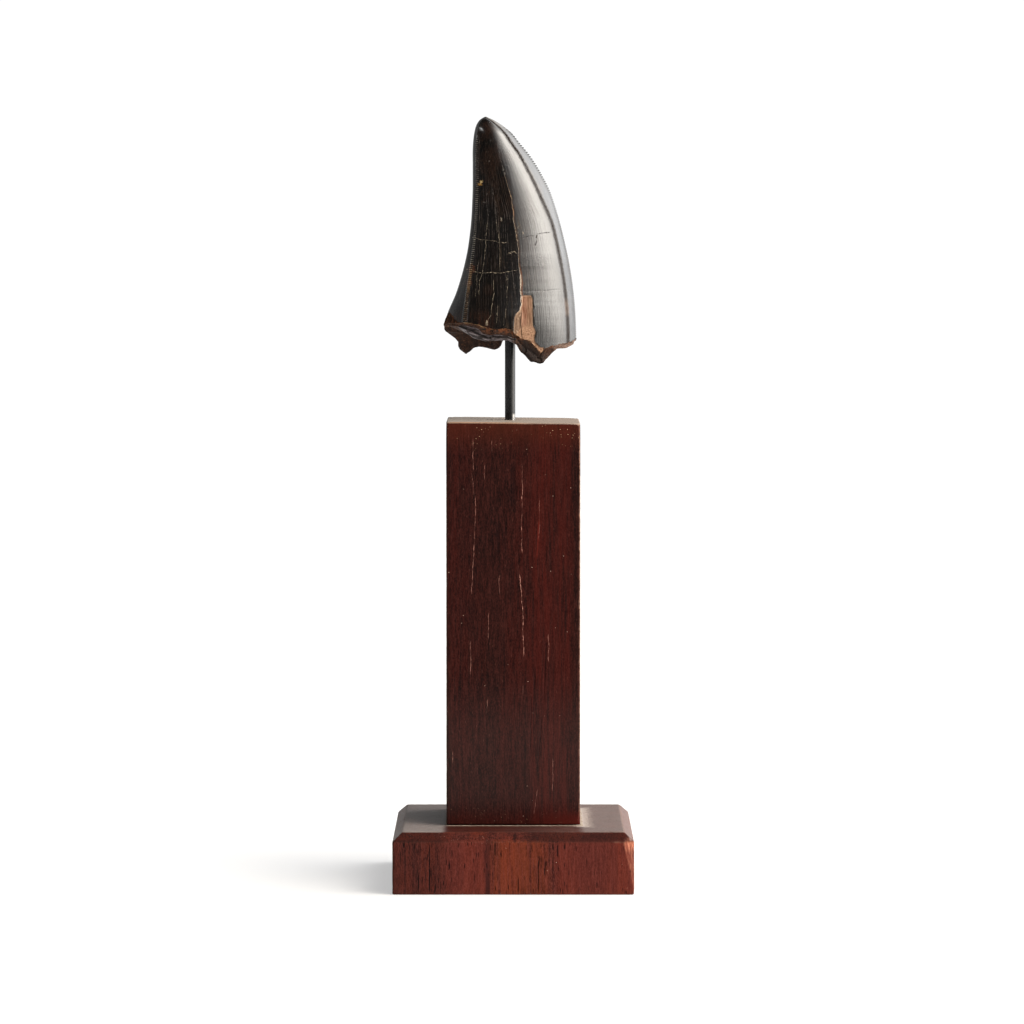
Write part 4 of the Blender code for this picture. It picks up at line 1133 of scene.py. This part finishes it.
rust_by_keel = rust_by_keel | spot(finish, -12.8, 171.4, 1.0, 1.0, across, torn * 0.4) * 0.8
lay(rust_by_keel * facing * (0.35 + 0.35 * flecked), tint(84, 46, 22))
lay(rib * 0.9 * worn_ribs, rib_colour)
# Painted shade: the notches between the ribs are painted near-black for the shade inside them.
lay(notch_shade, tint(8, 6, 5))
lay(knob, tint(26, 23, 21))
dull = dull | rib * 0.7 | notch_shade | knob * 0.8
mottled = clouds((0.45, 0.45, 0.8), 3, 0.65)
groove = mark("groove") + (fine_wrinkles - 0.5) * 0.6 + (mottled - 0.5) * 1.1
groove = groove * (1 + 0.3 * z.fade(190, 204) + 0.3 * arc.fade(35.9, 36.5))
groove_core = groove.fade(0.75, 0.3) * arc.fade(30, 33)
groove_core = groove_core * (0.35 + 0.65 * mottled.fade(0.42, 0.56) | z.fade(200, 207))
groove = groove.fade(1.5, 0.4) * arc.fade(30, 33)
groove_colour = blend(z.fade(167.5, 165.5) * z.fade(161.5, 163), tint(40, 34, 30), tint(88, 74, 64))
lay(groove * 0.85, groove_colour)
lay(groove_core, blend(0.6, groove_colour, tint(20, 14, 12)))
dull = dull | groove * 0.8 | groove_core
rough = 0.13 + groove * 0.15
lay(stain * facing * 0.5, down_the_crown(finish, tint(52, 32, 20), (178, 174, (110, 62, 32))))
swell = z.fade(193.2, 192.4) * z.fade(189.6, 190.4)
crack_colour = blend(swell, tint(178, 142, 98), tint(182, 128, 72))
lay(golden, down_the_crown(finish, crack_colour, (177, 174, (224, 198, 172)), (199, 204, (116, 108, 98))))
pale_ochre = spot(finish, -9.1, 200.2, 0.42, 0.5, across, torn) * facing
ochre = spot(finish, -9.6, 199.4, 0.7, 0.36, across, torn) * facing | pale_ochre
lay(ochre, blend(pale_ochre * (0.4 + 0.6 * thick), tint(142, 106, 58), tint(186, 164, 116)))

# Missing enamel: bare dentine in the hole and the corner, tan where only a flake has gone.
crumb_colour, crumb = dentine(finish)
worn = (clouds(0.6, 3, 0.6) - 0.5) * 0.5
lost, flaked, corner = mark("lost") + worn * 0.5, mark("flaked") + worn * 1.4, mark("corner") + worn * 3.0
pink = x.fade(4.4, 3.4) * z.fade(158.2, 160.2)
rust = blend(upright.fade(0.35, 0.65), tint(92, 56, 40), tint(144, 110, 90))
beige = blend(upright.fade(0.35, 0.65), tint(90, 64, 48), tint(142, 110, 88))
hole_colour = blend(pink, beige, rust)
chips = clouds((0.3, 0.3, 0.4), 4, 0.7)
crumbly = blend(chips.fade(0.3, 0.68), tint(98, 68, 50), tint(164, 130, 104))
hole_colour = blend(z.fade(160.0, 158.2) * 0.9, hole_colour, crumbly)
hole_colour = blend(z.fade(155.6, 154.6) * x.fade(5.6, 4.6), hole_colour, crumb_colour)
tan = blend(chips.fade(0.3, 0.68) * 0.5 + upright.fade(0.35, 0.6) * 0.5, tint(62, 43, 33), tint(132, 106, 86))
lay(flaked.fade(-0.05, 0.12), tan)
flake_rim = flaked.fade(0.02, 0.12) * flaked.fade(0.5, 0.3) | abs(flaked - 1.1).fade(0.25, 0.08)
lay(flake_rim * facing * thick * 0.6, tint(176, 150, 126))
lay(lost.fade(-0.05, 0.05), hole_colour)
split = [(163.2, 2.4), (162.4, 2.3), (160.2, 2.05), (158.3, 2.3), (155.6, 2.5)]
lay(vein(finish, split, 0.2, across * 0.4) * facing * 0.9, tint(40, 24, 16))
# Painted highlight: a pale line inside the hole's top and right edges.
painted_rim_highlight = lost.fade(0.02, 0.12) * lost.fade(0.42, 0.25) * facing * z.fade(157, 159)
lay(painted_rim_highlight * 0.6 * (z.fade(164.5, 166) | x.fade(3.4, 4.4)), tint(176, 146, 120))
# Painted highlight: a pale grey strip along the mesial side near the tip.
painted_tip_highlight = arc.fade(36, 38) * arc.fade(46, 44) * z.fade(213.5, 217)
lay(painted_tip_highlight * 0.5, tint(120, 116, 112))
rim = abs(lost).fade(0.2, 0.05) * x.fade(3.4, 4.6) * facing
lay(rim * 0.8, tint(30, 22, 18))
lay(corner.fade(-0.05, 0.2), crumb_colour * 1.4)
opened = lost.fade(-0.05, 0.1) | flaked.fade(-0.05, 0.15) | corner.fade(-0.1, 0.2)
dull_foot = spot(finish, 7.2, 158.0, 2.6, 7.5, across * 3) * facing * upright.fade(0.3, 0.7)
foot = facing * on_right * z.fade(169.8, 169.0)

# Gloss and relief. The height that feeds the bump is kept short, because it is worked out three times over.
rippled = facing * on_right * z.fade(175.2, 176.4) * z.fade(180.4, 179.2) * x.fade(13, 9)
rough = rough + rippled * 0.05 + wrinkles * 0.06 + streaked * on_right * 0.1 + (dull_foot | foot * 0.6) * 0.1
lower_down = 0.45 + 0.55 * z.fade(200, 180)
height = (wrinkles - 0.5) * 0.045 + fine_wrinkles * 0.03 + (streaked - 0.5) * on_right * 0.065
height = height * lower_down * z.fade(216, 208)
height = height + rippled * clouds((1.6, 1.6, 0.45), 3, 0.6) * 0.06
height = height + rings_of_growth * (0.02 + 0.04 * z.fade(176, 168)) - pitted * 0.02
height = height - cut + opened * (crumb * 0.2)
fossil_enamel = finish.done(
    matte=dull | ochre | opened | dull_foot * 0.35 | foot * upright.fade(0.4, 0.7) * 0.2,
    Roughness=rough, Normal=finish.relief(height), Coat_Weight=0.3 + wrinkles * 0.1,
)

# Broken dentine under the crown: orange and golden crumbs below the enamel, then the smooth lilac-grey layer.
finish = Finish("broken_dentine", IOR=1.3)
x, y, z, clouds, mark, blend, lay = finish.tools()
finish.colour, crumb = dentine(finish)
layer = mark("layer")
left_front = y.fade(0.0, -2.0) * x.fade(1.0, -1.0)
behind = y.fade(0.5, 3)
orange = layer.fade(5.4, 2.5) * clouds((1.2, 1.2, 0.8), 4, 0.65).fade(0.44, 0.6) * (1 - behind * 0.6)
off_corner = x.fade(-16.2, -14.8)
right_of_rod = x.fade(1.5, 3.5)
lay(orange * off_corner * (0.4 + 0.5 * x.fade(-9, -7)) * (1 - right_of_rod * 0.6), tint(104, 58, 30))
golden_crumbs = layer.fade(2.6, 0.6) * clouds(0.5, 3, 0.6).fade(0.5, 0.62) * off_corner
lay(golden_crumbs * (0.7 + 0.2 * right_of_rod), tint(164, 122, 82))
flecks = clouds(0.35, 2, 0.6).fade(0.46, 0.58)
fleck_rim = layer.fade(3.2, 1.0) * x.fade(-14.2, -13) * x.fade(-8, -9.4) * y.fade(0, -1)
lay(fleck_rim * flecks * 0.9, tint(216, 176, 126))
v_rim = layer.fade(1.9, 0.6) * x.fade(6.2, 7.2) * x.fade(13, 11) * y.fade(0, -1)
lay(v_rim * (0.4 + 0.4 * flecks), tint(162, 126, 98))
right_end = x.fade(11.0, 12.4) * y.fade(1.5, -0.5)
lay(right_end * 0.85, blend(flecks, tint(90, 68, 56), tint(136, 112, 98)))
glossy = layer.fade(4.6, 5.4) * layer.fade(11.4, 10.6) * left_front * off_corner
lilac = blend(clouds((2.5, 2.5, 0.5), 4, 0.6).fade(0.4, 0.7), tint(32, 26, 25), tint(88, 79, 80))
folds = (clouds(3, 2) - 0.5) * 1.6
# Painted highlights: thin pale lines along the edges of the lilac layer's bands.
edge_light = 0.7 * abs(layer - 5.6).fade(0.4, 0.1) | abs(layer - 8.6 + folds).fade(0.4, 0.1)
edge_light = edge_light | abs(layer - 10.7 + folds * 0.4).fade(0.5, 0.1)
lilac = blend(edge_light * clouds(1.5, 3).fade(0.36, 0.56), lilac, tint(148, 138, 140))
lilac = lilac * (0.8 + 0.45 * x.fade(-11, -5))
lay(glossy * 0.85, lilac)
slit = abs(layer - 7.2 + (clouds(2, 2) - 0.5) * 2.0).fade(0.5, 0.15) * glossy
lay(slit, tint(14, 9, 8))
# Painted shade: the gap between the two back lobes is painted near-black.
lobe_gap_shade = abs(x + 10.8).fade(1.0, 0.4) * z.fade(157.5, 155.5) * behind
inner_facet = x.fade(1.5, 3) * x.fade(9.2, 8.2) * layer.fade(1.6, 3)
lay(x.fade(2, 4) * x.fade(11, 9.5) * (1 - v_rim) * 0.5, tint(50, 28, 17))
# The inner facet made darker, and painted shade in the gap between the back lobes.
lay(inner_facet * 0.72 | lobe_gap_shade * 0.8, tint(12, 7, 5))
lay(behind * 0.45, tint(40, 25, 17))
finish.colour = finish.colour * (1 + (behind * 0.5 | (1 - off_corner) * y.fade(2, 0)) * 0.5)
broken_dentine = finish.done(
    Roughness=0.7 - glossy * 0.4 + slit * 0.3,
    Normal=finish.relief(crumb * (0.5 - glossy * 0.42) - slit * 0.3),
)

tooth = mesh_object("tooth_crown", np.concatenate(points), faces, [fossil_enamel, broken_dentine], 50)
indices = np.zeros(len(faces), np.int32)
indices[enamel_faces:] = 1
tooth.data.polygons.foreach_set("material_index", indices)
for key in marks[0]:
    carry(tooth, key, np.concatenate([mark[key] for mark in marks]))
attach(tooth, "root")
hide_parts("tooth")

# Table, lights and camera ---------------------------------------------------------------------------------
# A white table lit through from below, in a sky that holds a tall soft light at the right, a broad dim one
# overhead and a pale glow behind, with one small lamp at the upper left. The camera looks slightly down.

TABLE_GLOW = 0.45
SKY = [  # degrees round from the camera's side, towards the right; brightness
    (-180, 0.38), (-150, 0.29), (-125, 0.22), (-100, 0.2), (-85, 0.14), (-65, 0.06), (-45, 0.03),
    (-25, 0.03), (-8, 0.08), (0, 0.3), (8, 0.8), (14, 1.3), (20, 2.1), (28, 3.4), (36, 5.2), (43, 8.0),
    (51, 11.6), (60, 11.9), (68, 10.4), (77, 8.9), (90, 7.5), (110, 5.2), (126, 4.4), (140, 2.9),
    (152, 1.5), (165, 1.0), (180, 0.4),
]
SKY_STRENGTH, OVERHEAD = 0.86, 0.03
table_corners = [(-1600, -1300, 0), (1600, -1300, 0), (1600, 2200, 0), (-1600, 2200, 0)]
table = mesh_object("table_top", table_corners, [(0, 1, 2, 3)], [])
finish = Finish("white_table", Emission_Strength=TABLE_GLOW, Roughness=0.9)
finish.shader.inputs["Emission Color"].default_value = (1, 1, 1, 1)
table.data.materials.append(finish.done(Base_Color=(0.42, 0.42, 0.42)))
table.location.z = -0.02 * MM

world = bpy.data.worlds.new("white_studio")
world.use_nodes = True
bpy.context.scene.world = world
sky = Nodes(world.node_tree)
x, y, z = sky.split(sky.node("ShaderNodeTexCoord", {}, {}, "Generated"))
bearing = sky.node("ShaderNodeMath", {"operation": "ARCTAN2"}, {0: x, 1: y * -1}) * (180 / math.pi)
rise = sky.node("ShaderNodeMath", {"operation": "ARCSINE"}, {0: z}) * (180 / math.pi)
lean = (rise - 18) * 1.5
for limit in ((rise - 18) * 0.4, 12.95 - rise * 0.25):
    lean = sky.node("ShaderNodeMath", {"operation": "MINIMUM"}, {0: lean, 1: limit})
lean = lean * bearing.fade(95, 60)
brightest = max(level for _, level in SKY)
curve = [((place + 180) / 360, level / brightest) for place, level in SKY]
bright = sky.node("ShaderNodeFloatCurve", {"curve": curve}, {"Value": (bearing + lean + 180) / 360})
bright = bright * brightest * rise.fade(76, 58) * (0.5 + 0.5 * rise.fade(-10, 14)) * SKY_STRENGTH + OVERHEAD
seen = sky.node("ShaderNodeLightPath", {}, {}, "Is Camera Ray")
warm = sky.blend(bearing.fade(6, 22) * bearing.fade(112, 84), (1, 1, 1), (1, 0.95, 0.88))
background = world.node_tree.nodes["Background"]
sky.fill(background.inputs["Color"], sky.blend(seen, warm * bright, (1.05, 1.05, 1.05)))


def soft_light(name, position, aim, size, radiance):
    """A square of even light, size metres across, that shines at a point."""
    lamp = bpy.data.lights.new(name, "AREA")
    lamp.size = size
    lamp.energy = radiance * size * size * math.pi
    made = bpy.data.objects.new(name, lamp)
    made.location = position
    made.rotation_euler = (Vector(aim) - Vector(position)).to_track_quat("-Z", "Y").to_euler()
    made.visible_camera = False
    bpy.context.scene.collection.objects.link(made)


soft_light("left_catch_light", (-0.83, -0.66, 1.25), (0, 0, 0.21), 0.08, 18)

lens = bpy.data.cameras.new("product_camera")
lens.lens, lens.sensor_width = 161.2, 36.0
camera = bpy.data.objects.new("product_camera", lens)
camera.location = (-0.000357, -1.3132, 0.1855)
camera.rotation_euler = (math.pi / 2 - 0.0607, 0, 0)
bpy.context.scene.collection.objects.link(camera)
bpy.context.scene.camera = camera
bpy.context.scene.view_settings.view_transform = "Standard"
